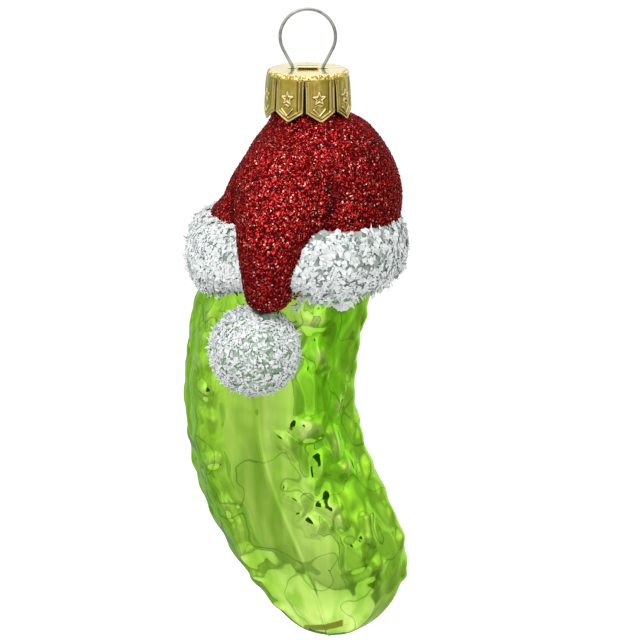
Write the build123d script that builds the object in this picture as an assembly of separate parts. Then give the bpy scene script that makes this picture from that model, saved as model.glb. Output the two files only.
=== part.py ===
"""Blown-glass pickle ornament in a santa hat, hung by a wire loop from a pressed metal cap.

Millimetres, +Z up, front of the ornament towards -Y.
The origin is the point inside the top of the wire loop where a hook bears.
"""

import os
from math import acos, atan2, cos, degrees, pi, radians, sin, sqrt

from build123d import *

# Hanger wire
wire_diameter = 0.6
loop_radius = 5.0  # centre line of the round part
leg_lean = 27.5  # degrees from upright, where the legs leave the loop
leg_spacing = 5.0  # between the legs where they pass through the cap
leg_length = 16.0  # from the cap down into the glass
leg_clearance = 0.3  # leg ends to the bore of the neck
waist_bend_radius = 0.9

# Pressed cap
sheet = 0.3
cap_diameter = 14.9  # outside, below the rounded edge
cap_height = 8.6  # top face to the petal tips
cap_edge_radius = 1.0
cap_flare = 0.4  # growth of the radius down to the petal tips
petal_count = 8
petal_turn = 18.3  # degrees from +X to the middle of the first petal
petal_point_height = 1.7
petal_tip_width = 0.35
slit_start = 1.3  # below the top face
slit_top_width = 0.25
slit_foot_width = 0.55
pleat_width = 0.55
pleat_rise = 0.22  # at the foot of the skirt
pleat_pitch = 0.7  # from the petal's edge to the first pleat, and to the next
pleats_per_side = 2
wire_clearance = 0.18
wire_hole_length = 1.5
bridge_width = 1.5
bridge_rise = 0.5
bridge_ramp = 0.35  # run of the strap's steep ends
bridge_bend_radius = 0.4
bridge_land = 0.3  # metal between the bridge's opening and the wire's hole
lance_gap = 0.15  # beside the bridge

# Glass
glass_wall = 0.9
neck_wall = 1.0
rim_clearance = 0.1  # neck's rim to the rounding inside the cap
petal_clearance = 0.3  # petal tips to the glitter below them

# Santa hat, blown in one with the glass
shoulder_step = 2.05  # neck to the edge of the shoulder
crown_radius = 17.0
crown_height = 17.6  # shoulder to the widest part of the crown
crown_skirt = 8.4  # how far the crown runs on down inside the brim
crown_shift = 1.5  # crown's middle to the side of the neck at the shoulder
crown_lean = 2.1  # how far the crown's middle comes back across at its foot
crown_swell = 0.8  # power of the crown's profile, 1 for a plain sine
brim_radius = 15.5  # middle of the brim's tube
brim_half_width = 4.2
brim_half_height = 6.7
brim_shift = -2.0
brim_drop = 23.5  # shoulder to the middle of the brim
brim_tilt = 4.0  # degrees, right side up
tail_root_radius = 9.2
tail_tip_radius = 2.6
tail_taper = 1.6  # power of the taper
tail_root_shift = -1.0
tail_root_depth = 2.5  # in front of the neck
tail_root_drop = 8.6  # below the shoulder
tail_swing = 4.2  # to the left of the brim's middle
tail_sink = 2.7  # tail's axis behind the front of the brim
pompom_radius = 7.6
pompom_gap = 1.3  # brim to pompom
pompom_swing = 3.5  # to the left of the pickle's middle
pompom_sink = 0.4  # pompom's middle behind the front of the pickle

# Pickle
pickle_radius = 15.5  # where the rounded end begins
pickle_top_radius = 15.1  # inside the brim
pickle_depth_ratio = 0.94  # front-to-back over side-to-side
pickle_length = 74.2  # middle of the brim to the tip
pickle_end_length = 21.7  # rounded end
waist_drop = 27.2  # middle of the brim to the furthest left point of the bend
waist_shift = -7.05
upper_bend_radius = 66.0
tip_shift = 11.5  # waist to tip, sideways
bend_finish = 2.8  # tip to the level where the bend has straightened
tip_flat_radius = 1.8  # sealed tip
rib_count = 8
rib_turn = 37.0  # degrees from +X to the first rib
rib_rise = 0.35
seam_rib = 1  # the mould parts along this rib and the one across from it, which have no warts
wart_pitch = 7.2
wart_radius = 3.0
wart_rise = 0.55
first_wart_drop = 13.0  # middle of the brim to the first row
wart_end_gap = 9.0  # tip to the last row

# Coats glued on the glass
glitter_thickness = 0.35
glitter_collar = 3.4  # up the neck, behind the points of the petals
flake_thickness = 0.75

# Sizes that follow from the ones above
wire_radius = wire_diameter / 2
cap_radius = cap_diameter / 2
neck_radius = cap_radius - cap_edge_radius - rim_clearance
bore_radius = neck_radius - neck_wall
shoulder_radius = neck_radius + shoulder_step
petal_pitch = 2 * pi * (cap_radius + cap_flare) / petal_count
rib_pitch = 360 / rib_count

# Levels, from the hook down
loop_centre = wire_radius - loop_radius
loop_foot = loop_centre - loop_radius * sin(radians(leg_lean))
leg_run = (loop_radius * cos(radians(leg_lean)) - leg_spacing / 2) / sin(radians(leg_lean))
waist_of_wire = loop_foot - leg_run * cos(radians(leg_lean))
cap_top = waist_of_wire + sheet / 2
cap_underside = cap_top - sheet
petal_tips = cap_top - cap_height
shoulder_level = petal_tips - petal_clearance - glitter_thickness
crown_foot = shoulder_level - crown_height
brim_level = shoulder_level - brim_drop
waist_level = brim_level - waist_drop
tip_level = brim_level - pickle_length
end_level = tip_level + pickle_end_length


def hanger_wire():
    """One bent wire: loop, waist in the cap's holes and two spread legs."""
    leg_end = (bore_radius - leg_clearance - wire_radius, waist_of_wire - leg_length)
    waist = (leg_spacing / 2, waist_of_wire)
    leaves_loop = (loop_radius * cos(radians(leg_lean)), loop_foot)
    crest = (0, loop_centre + loop_radius)
    left = [(-x, z) for x, z in (leaves_loop, waist, leg_end)]
    with BuildLine(Plane.XZ) as bend:
        FilletPolyline(leg_end, waist, leaves_loop, radius=waist_bend_radius)
        ThreePointArc(leaves_loop, crest, left[0])
        FilletPolyline(*left, radius=waist_bend_radius)
    path = bend.wire()
    return sweep(Plane(path @ 0, z_dir=path % 0) * Circle(wire_radius), path=path)


def cap_crown():
    """Cap's flat top and its rounded edge."""
    edge = cap_top - cap_edge_radius
    inner_edge_radius = cap_edge_radius - sheet
    flat = cap_radius - cap_edge_radius
    turn = cos(radians(45))
    with BuildSketch(Plane.XZ) as profile:
        with BuildLine():
            Line((0, cap_top), (flat, cap_top))
            ThreePointArc(
                (flat, cap_top),
                (flat + cap_edge_radius * turn, edge + cap_edge_radius * turn),
                (cap_radius, edge),
            )
            Line((cap_radius, edge), (cap_radius - sheet, edge))
            ThreePointArc(
                (cap_radius - sheet, edge),
                (flat + inner_edge_radius * turn, edge + inner_edge_radius * turn),
                (flat, cap_underside),
            )
            Polyline((flat, cap_underside), (0, cap_underside), (0, cap_top))
        make_face()
    return revolve(profile.sketch, Axis.Z)


def pleat_angles():
    """Where the pleats stand on every petal, in degrees from +X."""
    step = 360 / petal_count
    angles = []
    for petal in range(petal_count):
        for i in range(pleats_per_side):
            off_middle = step * (0.5 - (i + 1) * pleat_pitch / petal_pitch)
            angles += [petal_turn + step * petal - off_middle, petal_turn + step * petal + off_middle]
    return sorted(angles)


def pleated_outline(radius, z, rise):
    """Level circle that is raised to a ridge at each pleat."""

    def at(angle, reach):
        return Vector(reach * cos(radians(angle)), reach * sin(radians(angle)), z)

    half = degrees(pleat_width / 2 / radius)
    angles = pleat_angles()
    edges = []
    for angle, following in zip(angles, angles[1:] + [angles[0] + 360]):
        start, foot, end = angle - half, angle + half, following - half
        middle = (foot + end) / 2
        edges.append(Edge.make_line(at(start, radius), at(angle, radius + rise)))
        edges.append(Edge.make_line(at(angle, radius + rise), at(foot, radius)))
        edges.append(Edge.make_three_point_arc(at(foot, radius), at(middle, radius), at(end, radius)))
    return Face(Wire(edges))


def cap_skirt():
    """Flaring skirt whose pleats deepen downwards, before it is slit into petals."""
    edge = cap_top - cap_edge_radius
    height = edge - petal_tips
    foot_radius = cap_radius + cap_flare
    outlines = [pleated_outline(cap_radius, edge, 0), pleated_outline(foot_radius, petal_tips, pleat_rise)]
    outer = loft(outlines, ruled=True)
    inner = Cone(foot_radius - sheet, cap_radius - sheet, height)
    return outer.cut(Pos(0, 0, petal_tips + height / 2) * inner)


def petal_slit():
    """Cutter for one slit and the notch that points the petals beside it, on the +X side."""
    notch = petal_tips + petal_point_height
    base = petal_pitch / 2 - petal_tip_width / 2
    half = [
        (slit_top_width / 2, cap_top - slit_start),
        (slit_foot_width / 2, notch),
        (base, petal_tips),
        (base, petal_tips - sheet),
    ]
    outline = half + [(-y, z) for y, z in reversed(half)]
    with BuildSketch(Plane.YZ.offset(neck_radius)) as cutter:
        with BuildLine():
            Polyline(*outline, close=True)
        make_face()
    return extrude(cutter.sketch, amount=cap_radius + cap_flare + pleat_rise + sheet - neck_radius)


def bridge():
    """Raised flat strap between the wire's holes, bent down steeply at its ends."""
    half_length = hole_start() + lance_gap
    crest = cap_top + bridge_rise
    foot = cap_top - sheet / 2
    right = [(half_length - bridge_ramp, crest), (half_length, foot)]
    left = [(-x, z) for x, z in reversed(right)]
    with BuildSketch(Plane.XZ.offset(-bridge_width / 2)) as strap:
        with BuildLine():
            FilletPolyline(*left, *right, radius=bridge_bend_radius)
            offset(amount=sheet, side=Side.RIGHT)
        make_face()
    return extrude(strap.sketch, amount=bridge_width)


def hole_start():
    """Inner end of a wire hole, from the middle of the cap."""
    return leg_spacing / 2 - wire_radius - wire_clearance


def top_cut(length, width, x):
    """Cutter through the cap's top."""
    return Pos(x, 0, cap_top - sheet / 2) * Box(length, width, 2 * sheet)


def wire_hole(side):
    """Slot that a leg passes through, rounded at its ends."""
    middle = side * (hole_start() + wire_hole_length / 2)
    width = wire_diameter + 2 * wire_clearance
    slot = SlotOverall(wire_hole_length, width)
    return Pos(middle, 0, cap_underside - sheet) * extrude(slot, amount=3 * sheet)


def ornament_cap():
    """Pressed cap with pointed petals, pleats, a bridge and two wire holes."""
    opening_length = 2 * (hole_start() - bridge_land)
    opening = top_cut(opening_length, bridge_width + 2 * lance_gap, 0)
    cup = cap_crown().fuse(cap_skirt())
    first_slit = petal_turn + 180 / petal_count
    slits = [Rot(0, 0, first_slit + 360 / petal_count * i) * petal_slit() for i in range(petal_count)]
    return cup.cut(opening, *slits).fuse(bridge()).cut(wire_hole(-1), wire_hole(1))


def pickle_middle(z):
    """Sideways place of the pickle's axis, bent like a gherkin."""
    drop = waist_level - z
    if drop < 0:
        return waist_shift + drop**2 / (2 * upper_bend_radius)
    share = min(1, drop / (waist_level - tip_level - bend_finish))
    return waist_shift + tip_shift * (1 - cos(pi * share)) / 2


def end_share(z):
    """How far a level lies down the rounded end, from 0 to 1."""
    return min(1, max(0, end_level - z) / pickle_end_length)


def pickle_radius_at(z):
    """Mean radius of the pickle, which swells downwards and is round at its end."""
    narrowing = max(0, z - end_level) / (brim_level - end_level)
    swollen = pickle_radius + (pickle_top_radius - pickle_radius) * narrowing
    return swollen * sqrt(1 - end_share(z) ** 2)


def level_stretch(z):
    """How much wider a level cut is than the pickle, where its axis leans sideways."""
    step = 0.01
    lean = (pickle_middle(z + step) - pickle_middle(z - step)) / (2 * step)
    return sqrt(1 + lean**2)


def pickle_section(z, radius, drop):
    """Lobed cross-section at a level, dropped a little, with its seam in a valley between two ribs."""
    points_per_rib = 4
    lobe = rib_rise * radius / pickle_radius
    stretch = level_stretch(z)
    points = []
    for i in range(rib_count * points_per_rib):
        angle = radians(rib_turn + rib_pitch * (i / points_per_rib - 0.5))
        lobed = radius - lobe * cos(2 * pi * i / points_per_rib)
        points.append(Vector(lobed * stretch * cos(angle), lobed * pickle_depth_ratio * sin(angle)))
    return Pos(pickle_middle(z), 0, z - drop) * Face(Wire(Edge.make_spline(points, periodic=True)))


def pickle(offset):
    """Pickle's ribbed form, grown or shrunk all over by an offset."""
    straight_steps = 6
    end_steps = 6
    levels = [brim_level + (end_level - brim_level) * i / straight_steps for i in range(straight_steps)]
    last_turn = acos(tip_flat_radius / pickle_radius)
    levels += [end_level - pickle_end_length * sin(last_turn * i / end_steps) for i in range(end_steps + 1)]
    sections = []
    for z in levels:
        radius = pickle_radius_at(z) * (1 + offset / pickle_radius)
        sections.append(pickle_section(z, radius, offset * end_share(z)))
    return loft(sections)


def warts():
    """Domes in staggered rows along the crests of the ribs."""
    domes = []
    for rib in range(rib_count):
        if rib % (rib_count // 2) == seam_rib:
            continue
        angle = radians(rib_turn + rib_pitch * rib)
        z = brim_level - first_wart_drop - (rib % 2) * wart_pitch / 2
        while z > tip_level + wart_end_gap:
            radius = pickle_radius_at(z)
            crest = radius + rib_rise * radius / pickle_radius
            slope = atan2(end_share(z) / pickle_end_length, radius / pickle_radius**2)
            depth = wart_radius - wart_rise
            reach = crest - depth * cos(slope)
            x = pickle_middle(z) + reach * level_stretch(z) * cos(angle)
            y = pickle_depth_ratio * reach * sin(angle)
            facing_in = Rot(0, 0, 180 + rib_turn + rib_pitch * rib)
            domes.append(Pos(x, y, z + depth * sin(slope)) * facing_in * Sphere(wart_radius))
            z -= wart_pitch
    return domes


def crown(offset):
    """Hat's crown, from its shoulder down into the brim."""
    steps = 6
    sections = []
    for i in range(steps + 1):
        share = i / steps
        radius = shoulder_radius + (crown_radius - shoulder_radius) * sin(pi / 2 * share) ** crown_swell
        x = crown_shift - crown_lean * share**2
        z = shoulder_level - crown_height * share + offset * (1 - share)
        sections.append(Pos(x, 0, z) * Circle(radius + offset))
    sections.append(Pos(brim_shift, 0, crown_foot - crown_skirt) * Circle(crown_radius + offset))
    return loft(sections)


def brim(offset):
    """Fat tilted ring of the hat's brim."""
    width = brim_half_width + offset
    height = brim_half_height + offset
    halves = [Edge.make_ellipse(width, height, Plane.XZ, start, start + 180) for start in (0, 180)]
    ring = revolve(Pos(brim_radius, 0, 0) * Face(Wire(halves)), Axis.Z)
    return Pos(brim_shift, 0, brim_level) * Rot(0, -brim_tilt, 90) * ring


def pompom_centre():
    """Middle of the pompom, on the pickle's front below the brim."""
    z = brim_level - brim_half_height - pompom_gap - pompom_radius
    return Vector(pickle_middle(z) - pompom_swing, pompom_sink - pickle_radius * pickle_depth_ratio, z)


def pompom(offset):
    """Ball at the end of the hat's tail."""
    return Pos(*pompom_centre()) * Rot(90, 0, 0) * Sphere(pompom_radius + offset)


def tail(offset):
    """Hat's tail, tapering from the crown over the brim into the pompom."""
    root = Vector(tail_root_shift, -tail_root_depth, shoulder_level - tail_root_drop)
    brim_front = -(brim_radius + brim_half_width - tail_sink)
    over_brim = Vector(brim_shift - tail_swing, brim_front, brim_level)
    end = pompom_centre() + Vector(tail_tip_radius, 0, pompom_radius - tail_tip_radius)
    path = Spline(root, over_brim, end)
    steps = 6
    sections = []
    for i in range(steps + 1):
        share = i / steps
        radius = tail_root_radius + (tail_tip_radius - tail_root_radius) * share**tail_taper
        sections.append(path.location_at(share) * Circle(radius + offset))
    return loft(sections)


def neck():
    """Open neck at the top of the glass, inside the cap."""
    height = cap_underside - shoulder_level + glass_wall
    return Pos(0, 0, cap_underside) * Cylinder(
        neck_radius, height, align=(Align.CENTER, Align.CENTER, Align.MAX)
    )


def neck_bore():
    """Bore through the neck into the hat."""
    depth = cap_underside - shoulder_level + 3 * glass_wall
    return Pos(0, 0, cap_underside) * Cylinder(
        bore_radius, depth, align=(Align.CENTER, Align.CENTER, Align.MAX)
    )


def glass_solid(pickle_form):
    """Everything inside the outer surface of the glass, around one form of the pickle."""
    return pickle_form.fuse(crown(0), brim(0), tail(0), pompom(0), neck())


def glass_hollow():
    """Hollow of the glass."""
    wall = -glass_wall
    return pickle(wall).fuse(crown(wall), brim(wall), tail(wall), pompom(wall), neck_bore())


def hat_glitter_coat(glass):
    """Red glitter on the crown, the tail and the foot of the neck."""
    collar = Pos(0, 0, shoulder_level) * Cylinder(
        neck_radius + glitter_thickness, glitter_collar, align=(Align.CENTER, Align.CENTER, Align.MIN)
    )
    on_crown = crown(glitter_thickness).fuse(collar).cut(brim(flake_thickness))
    return on_crown.fuse(tail(glitter_thickness)).cut(glass)


def brim_flake_coat(glass):
    """White flakes on the brim, parted by the tail."""
    return brim(flake_thickness).cut(glass, tail(glitter_thickness))


def pompom_flake_coat(glass):
    """White flakes on the pompom."""
    return pompom(flake_thickness).cut(glass, tail(glitter_thickness), brim(flake_thickness))


smooth = glass_solid(pickle(0))
warty = glass_solid(pickle(0).fuse(*warts()))
nodes = {
    "glass_body": warty.cut(glass_hollow()),
    "hat_glitter_coat": hat_glitter_coat(smooth),
    "brim_flake_coat": brim_flake_coat(smooth),
    "pompom_flake_coat": pompom_flake_coat(warty),
    "ornament_cap": ornament_cap(),
    "hanger_wire": hanger_wire(),
}

os.makedirs("parts", exist_ok=True)
for name, shape in nodes.items():
    export_step(shape, f"parts/{name}.step")
    print(name, "solids", len(shape.solids()), "volume", round(shape.volume, 1), "mm3")
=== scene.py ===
import math

import bmesh
import bpy
import numpy as np
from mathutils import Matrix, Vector, noise


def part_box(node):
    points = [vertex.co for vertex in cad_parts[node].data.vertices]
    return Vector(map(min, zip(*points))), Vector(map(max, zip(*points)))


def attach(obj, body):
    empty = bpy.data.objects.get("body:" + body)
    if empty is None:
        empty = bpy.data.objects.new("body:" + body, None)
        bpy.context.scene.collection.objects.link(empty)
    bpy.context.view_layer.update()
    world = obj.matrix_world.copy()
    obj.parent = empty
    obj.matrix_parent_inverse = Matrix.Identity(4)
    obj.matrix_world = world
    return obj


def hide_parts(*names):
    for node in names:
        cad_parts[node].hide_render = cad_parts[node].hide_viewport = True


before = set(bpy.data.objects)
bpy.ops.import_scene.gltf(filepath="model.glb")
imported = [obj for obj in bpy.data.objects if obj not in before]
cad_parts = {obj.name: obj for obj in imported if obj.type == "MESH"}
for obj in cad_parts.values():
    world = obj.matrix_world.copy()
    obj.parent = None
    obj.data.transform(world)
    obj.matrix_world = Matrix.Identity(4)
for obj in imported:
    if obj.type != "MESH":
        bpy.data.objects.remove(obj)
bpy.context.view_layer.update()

mm = 0.001  # every size below is in millimetres, and meshes are scaled once, when they are made
scene = bpy.context.scene
scene.view_settings.view_transform = "Standard"


def boxOf(node):
    low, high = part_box(node)
    return np.array(low) / mm, np.array(high) / mm


# levels read from the frame
glassLow, glassHigh = boxOf("glass_body")
brimLow, brimHigh = boxOf("brim_flake_coat")
tipLevel = glassLow[2]
rimLevel = glassHigh[2]
petalTips = boxOf("ornament_cap")[0][2]
brimLevel = (brimLow[2] + brimHigh[2]) / 2
capSheetThick, petalsClear = 0.3, 0.65
capTop = rimLevel + capSheetThick  # one sheet above the glass rim
shoulderLevel = petalTips - petalsClear
print("frame loaded, tip at", round(tipLevel, 2), "brim at", round(brimLevel, 2))


# meshes

def ringFaces(rows, cols, first=0):
    faces = []
    for row in range(rows - 1):
        for col in range(cols):
            a = first + row * cols + col
            b = first + row * cols + (col + 1) % cols
            faces.append((a, a + cols, b + cols, b))
    return faces


def meshFrom(name, points, faces):
    mesh = bpy.data.meshes.new(name)
    mesh.from_pydata((np.asarray(points, float) * mm).tolist(), [], faces)
    mesh.update()
    return mesh


def outwardFaces(mesh):
    work = bmesh.new()
    work.from_mesh(mesh)
    bmesh.ops.recalc_face_normals(work, faces=work.faces[:])
    work.to_mesh(mesh)
    work.free()


def objectFrom(name, mesh, *materials, smooth=True):
    for material in materials:
        mesh.materials.append(material)
    mesh.polygons.foreach_set("use_smooth", [smooth] * len(mesh.polygons))
    piece = bpy.data.objects.new(name, mesh)
    scene.collection.objects.link(piece)
    return piece


def dress(piece, body, slot, *nodes):
    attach(piece, body)
    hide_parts(*nodes)
    print("piece", piece.name, len(piece.data.polygons), "faces")
    return piece


def applyModifiers(piece):
    graph = bpy.context.evaluated_depsgraph_get()
    mesh = bpy.data.meshes.new_from_object(piece.evaluated_get(graph))
    piece.modifiers.clear()
    piece.data = mesh
    return piece


def pointsOf(mesh):
    flat = np.zeros(len(mesh.vertices) * 3)
    mesh.vertices.foreach_get("co", flat)
    return flat.reshape(-1, 3) / mm


def normalsOf(mesh):
    flat = np.zeros(len(mesh.vertices) * 3)
    mesh.vertices.foreach_get("normal", flat)
    return flat.reshape(-1, 3)


def setPoints(mesh, points):
    mesh.vertices.foreach_set("co", (points * mm).ravel())
    mesh.update()


def addValues(mesh, name, values):
    # one number per point, for the first points of the mesh
    full = np.zeros(len(mesh.vertices), np.float32)
    full[:len(values)] = values
    mesh.attributes.new(name, "FLOAT", "POINT").data.foreach_set("value", full)


def smoothNoise(points, size, seed=0.0):
    offset = Vector((seed, seed * 1.7, seed * 2.3))
    return np.array([noise.noise(Vector(p) / size + offset) for p in points])


def smoothStep(values, low, high):
    share = np.clip((values - low) / (high - low), 0, 1)
    return share * share * (3 - 2 * share)


def unit(vectors):
    return vectors / np.maximum(np.linalg.norm(vectors, axis=-1, keepdims=True), 1e-9)


# shader nodes

def addNode(tree, kind, inputs=None, **settings):
    node = tree.nodes.new(kind)
    for key, value in settings.items():
        setattr(node, key, value)
    for key, value in (inputs or {}).items():
        if isinstance(value, bpy.types.NodeSocket):
            tree.links.new(value, node.inputs[key])
        else:
            node.inputs[key].default_value = value
    return node


def mathNode(tree, operation, a, b=0.0):
    return addNode(tree, "ShaderNodeMath", {0: a, 1: b}, operation=operation).outputs[0]


def mixColor(tree, share, a, b):
    node = addNode(tree, "ShaderNodeMix", {"Factor": share}, data_type="RGBA")
    for index, value in ((6, a), (7, b)):
        if isinstance(value, bpy.types.NodeSocket):
            tree.links.new(value, node.inputs[index])
        else:
            node.inputs[index].default_value = (*value, 1)
    return node.outputs[2]


def ramp(tree, value, low, high, fromLevel=0.0, toLevel=1.0):
    inputs = {0: value, 1: low, 2: high, 3: fromLevel, 4: toLevel}
    return addNode(tree, "ShaderNodeMapRange", inputs).outputs[0]


def newMaterial(name, **plain):
    material = bpy.data.materials.new(name)
    material.use_nodes = True
    tree = material.node_tree
    shader = tree.nodes["Principled BSDF"]
    for key, value in plain.items():
        shader.inputs[key.replace("_", " ")].default_value = value
    return material, tree, shader


def objectPlace(tree):
    return addNode(tree, "ShaderNodeTexCoord").outputs["Object"]


def newGroup(name, inputs, outputs):
    group = bpy.data.node_groups.new(name, "ShaderNodeTree")
    for socketName, kind, value in inputs:
        socket = group.interface.new_socket(socketName, in_out="INPUT", socket_type=kind)
        if value is not None:
            socket.default_value = value
    for socketName, kind in outputs:
        group.interface.new_socket(socketName, in_out="OUTPUT", socket_type=kind)
    return group, group.nodes.new("NodeGroupInput").outputs, group.nodes.new("NodeGroupOutput").inputs


def useGroup(tree, group, **inputs):
    node = tree.nodes.new("ShaderNodeGroup")
    node.node_tree = group
    for key, value in inputs.items():
        if isinstance(value, bpy.types.NodeSocket):
            tree.links.new(value, node.inputs[key])
        else:
            node.inputs[key].default_value = value
    return node.outputs


# two tones that wander over a surface, with finer smears for its gloss
def makeMottle():
    group, given, out = newGroup(
        "mottle",
        [("ToneA", "NodeSocketColor", (0.5, 0.5, 0.5, 1)), ("ToneB", "NodeSocketColor", (0.6, 0.6, 0.6, 1)),
         ("Patch", "NodeSocketFloat", 200.0), ("Smear", "NodeSocketFloat", 900.0),
         ("Gloss", "NodeSocketFloat", 0.1), ("Dull", "NodeSocketFloat", 0.2)],
        [("Color", "NodeSocketColor"), ("Roughness", "NodeSocketFloat"), ("Height", "NodeSocketFloat")])
    place = objectPlace(group)
    patch = addNode(group, "ShaderNodeTexNoise", {"Vector": place, "Scale": given["Patch"], "Detail": 2.0})
    smear = addNode(group, "ShaderNodeTexNoise", {"Vector": place, "Scale": given["Smear"], "Detail": 3.0})
    patchSpan, smearSpan = (0.35, 0.65), (0.3, 0.75)
    patchShare = ramp(group, patch.outputs[0], *patchSpan)
    smearShare = ramp(group, smear.outputs[0], *smearSpan)
    tone = addNode(group, "ShaderNodeMix", {"Factor": patchShare, 6: given["ToneA"], 7: given["ToneB"]},
                   data_type="RGBA")
    gloss = addNode(group, "ShaderNodeMapRange", {0: smearShare, 3: given["Gloss"], 4: given["Dull"]})
    group.links.new(tone.outputs[2], out["Color"])
    group.links.new(gloss.outputs[0], out["Roughness"])
    group.links.new(smear.outputs[0], out["Height"])
    return group


# small cells, each with its own chance, tilt and edge, for glued grains
def makeGrains():
    group, given, out = newGroup(
        "grains",
        [("Scale", "NodeSocketFloat", 2500.0), ("Tilt", "NodeSocketFloat", 0.8)],
        [("Chance", "NodeSocketFloat"), ("Second", "NodeSocketFloat"), ("Edge", "NodeSocketFloat"),
         ("Normal", "NodeSocketVector")])
    cells = addNode(group, "ShaderNodeTexVoronoi", {"Vector": objectPlace(group), "Scale": given["Scale"]})
    parts = addNode(group, "ShaderNodeSeparateColor", {0: cells.outputs["Color"]})
    lean = addNode(group, "ShaderNodeVectorMath", {0: cells.outputs["Color"], 1: (0.5, 0.5, 0.5)},
                   operation="SUBTRACT")
    lean = addNode(group, "ShaderNodeVectorMath", {0: lean.outputs[0], 3: given["Tilt"]}, operation="SCALE")
    surface = addNode(group, "ShaderNodeNewGeometry").outputs["Normal"]
    tilted = addNode(group, "ShaderNodeVectorMath", {0: surface, 1: lean.outputs[0]}, operation="ADD")
    tilted = addNode(group, "ShaderNodeVectorMath", {0: tilted.outputs[0]}, operation="NORMALIZE")
    group.links.new(parts.outputs[0], out["Chance"])
    group.links.new(parts.outputs[1], out["Second"])
    group.links.new(cells.outputs["Distance"], out["Edge"])
    group.links.new(tilted.outputs[0], out["Normal"])
    return group


mottle = makeMottle()
grains = makeGrains()


# materials

def bumpFrom(tree, height, strength, depth, normal=None):
    inputs = {"Height": height, "Strength": strength, "Distance": depth * mm}
    if normal is not None:
        inputs["Normal"] = normal
    return addNode(tree, "ShaderNodeBump", inputs).outputs[0]


def pointValue(tree, name):
    return addNode(tree, "ShaderNodeAttribute", attribute_name=name).outputs["Fac"]


def greenLacquer():
    look = dict(deep=(0.275, 0.545, 0.040, 1), light=(0.335, 0.60, 0.070, 1), pooled=(0.21, 0.64, 0.010),
                thin=(0.475, 0.64, 0.175), dried=(0.085, 0.23, 0.010), run=(0.17, 0.40, 0.012),
                drip=(0.13, 0.125, 0.003), pinhole=(0.02, 0.05, 0.004), edge=(0.58, 0.79, 0.38, 1),
                runs=(300.0, 300.0, 26.0), runSpan=(0.42, 0.64), runShare=0.7, tideSize=95.0,
                tideLine=(0.002, 0.009), tide=0.65, dotSize=260.0, dotReach=0.045, dotShare=0.8)
    material, tree, shader = newMaterial("greenLacquer", Metallic=1.0, Specular_Tint=look["edge"],
                                         Coat_Weight=0.2, Coat_Roughness=0.02, Coat_IOR=1.5)
    place = objectPlace(tree)
    base = useGroup(tree, mottle, ToneA=look["deep"], ToneB=look["light"], Patch=90.0, Smear=420.0,
                    Gloss=0.055, Dull=0.11)
    # partly painted light: more saturated where the lacquer pools, painted shade on the right, and paler
    # where it is thin, painted highlight on the end, the warts and the panels
    color = mixColor(tree, pointValue(tree, "pooled"), base["Color"], look["pooled"])
    color = mixColor(tree, pointValue(tree, "thin"), color, look["thin"])
    # lacquer runs down the glass
    stretched = addNode(tree, "ShaderNodeVectorMath", {0: place, 1: look["runs"]}, operation="MULTIPLY")
    runs = addNode(tree, "ShaderNodeTexNoise", {"Vector": stretched.outputs[0], "Scale": 1.0, "Detail": 2.0})
    runShare = ramp(tree, runs.outputs[0], *look["runSpan"], 0.0, look["runShare"])
    color = mixColor(tree, runShare, color, look["run"])
    # thin dark lines where the lacquer dried last
    tide = addNode(tree, "ShaderNodeTexNoise", {"Vector": place, "Scale": look["tideSize"], "Detail": 1.5})
    away = mathNode(tree, "ABSOLUTE", mathNode(tree, "SUBTRACT", tide.outputs[0], 0.5))
    line = ramp(tree, away, *look["tideLine"], look["tide"], 0.0)
    line = mathNode(tree, "MAXIMUM", line, pointValue(tree, "ring"))
    color = mixColor(tree, line, color, look["dried"])
    color = mixColor(tree, pointValue(tree, "drip"), color, look["drip"])
    # a few pinholes
    dots = addNode(tree, "ShaderNodeTexVoronoi", {"Vector": place, "Scale": look["dotSize"]})
    chance = addNode(tree, "ShaderNodeSeparateColor", {0: dots.outputs["Color"]}).outputs[0]
    near = mathNode(tree, "LESS_THAN", dots.outputs["Distance"], look["dotReach"])
    pinhole = mathNode(tree, "MULTIPLY", near, mathNode(tree, "GREATER_THAN", chance, look["dotShare"]))
    color = mixColor(tree, pinhole, color, look["pinhole"])
    tree.links.new(color, shader.inputs["Base Color"])
    tree.links.new(base["Roughness"], shader.inputs["Roughness"])
    tree.links.new(bumpFrom(tree, base["Height"], 0.10, 0.05), shader.inputs["Normal"])
    return material


def silverCoat():
    look = dict(bright=(0.52, 0.52, 0.49, 1), dull=(0.36, 0.36, 0.33, 1), tarnish=(0.020, 0.017, 0.012))
    material, tree, shader = newMaterial("silverCoat", Metallic=1.0)
    base = useGroup(tree, mottle, ToneA=look["bright"], ToneB=look["dull"], Patch=300.0, Smear=900.0,
                    Gloss=0.3, Dull=0.5)
    # painted shade on the neck behind the cap's slits
    color = mixColor(tree, pointValue(tree, "tarnish"), base["Color"], look["tarnish"])
    tree.links.new(color, shader.inputs["Base Color"])
    tree.links.new(base["Roughness"], shader.inputs["Roughness"])
    tree.links.new(bumpFrom(tree, base["Height"], 0.2, 0.05), shader.inputs["Normal"])
    return material


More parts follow.
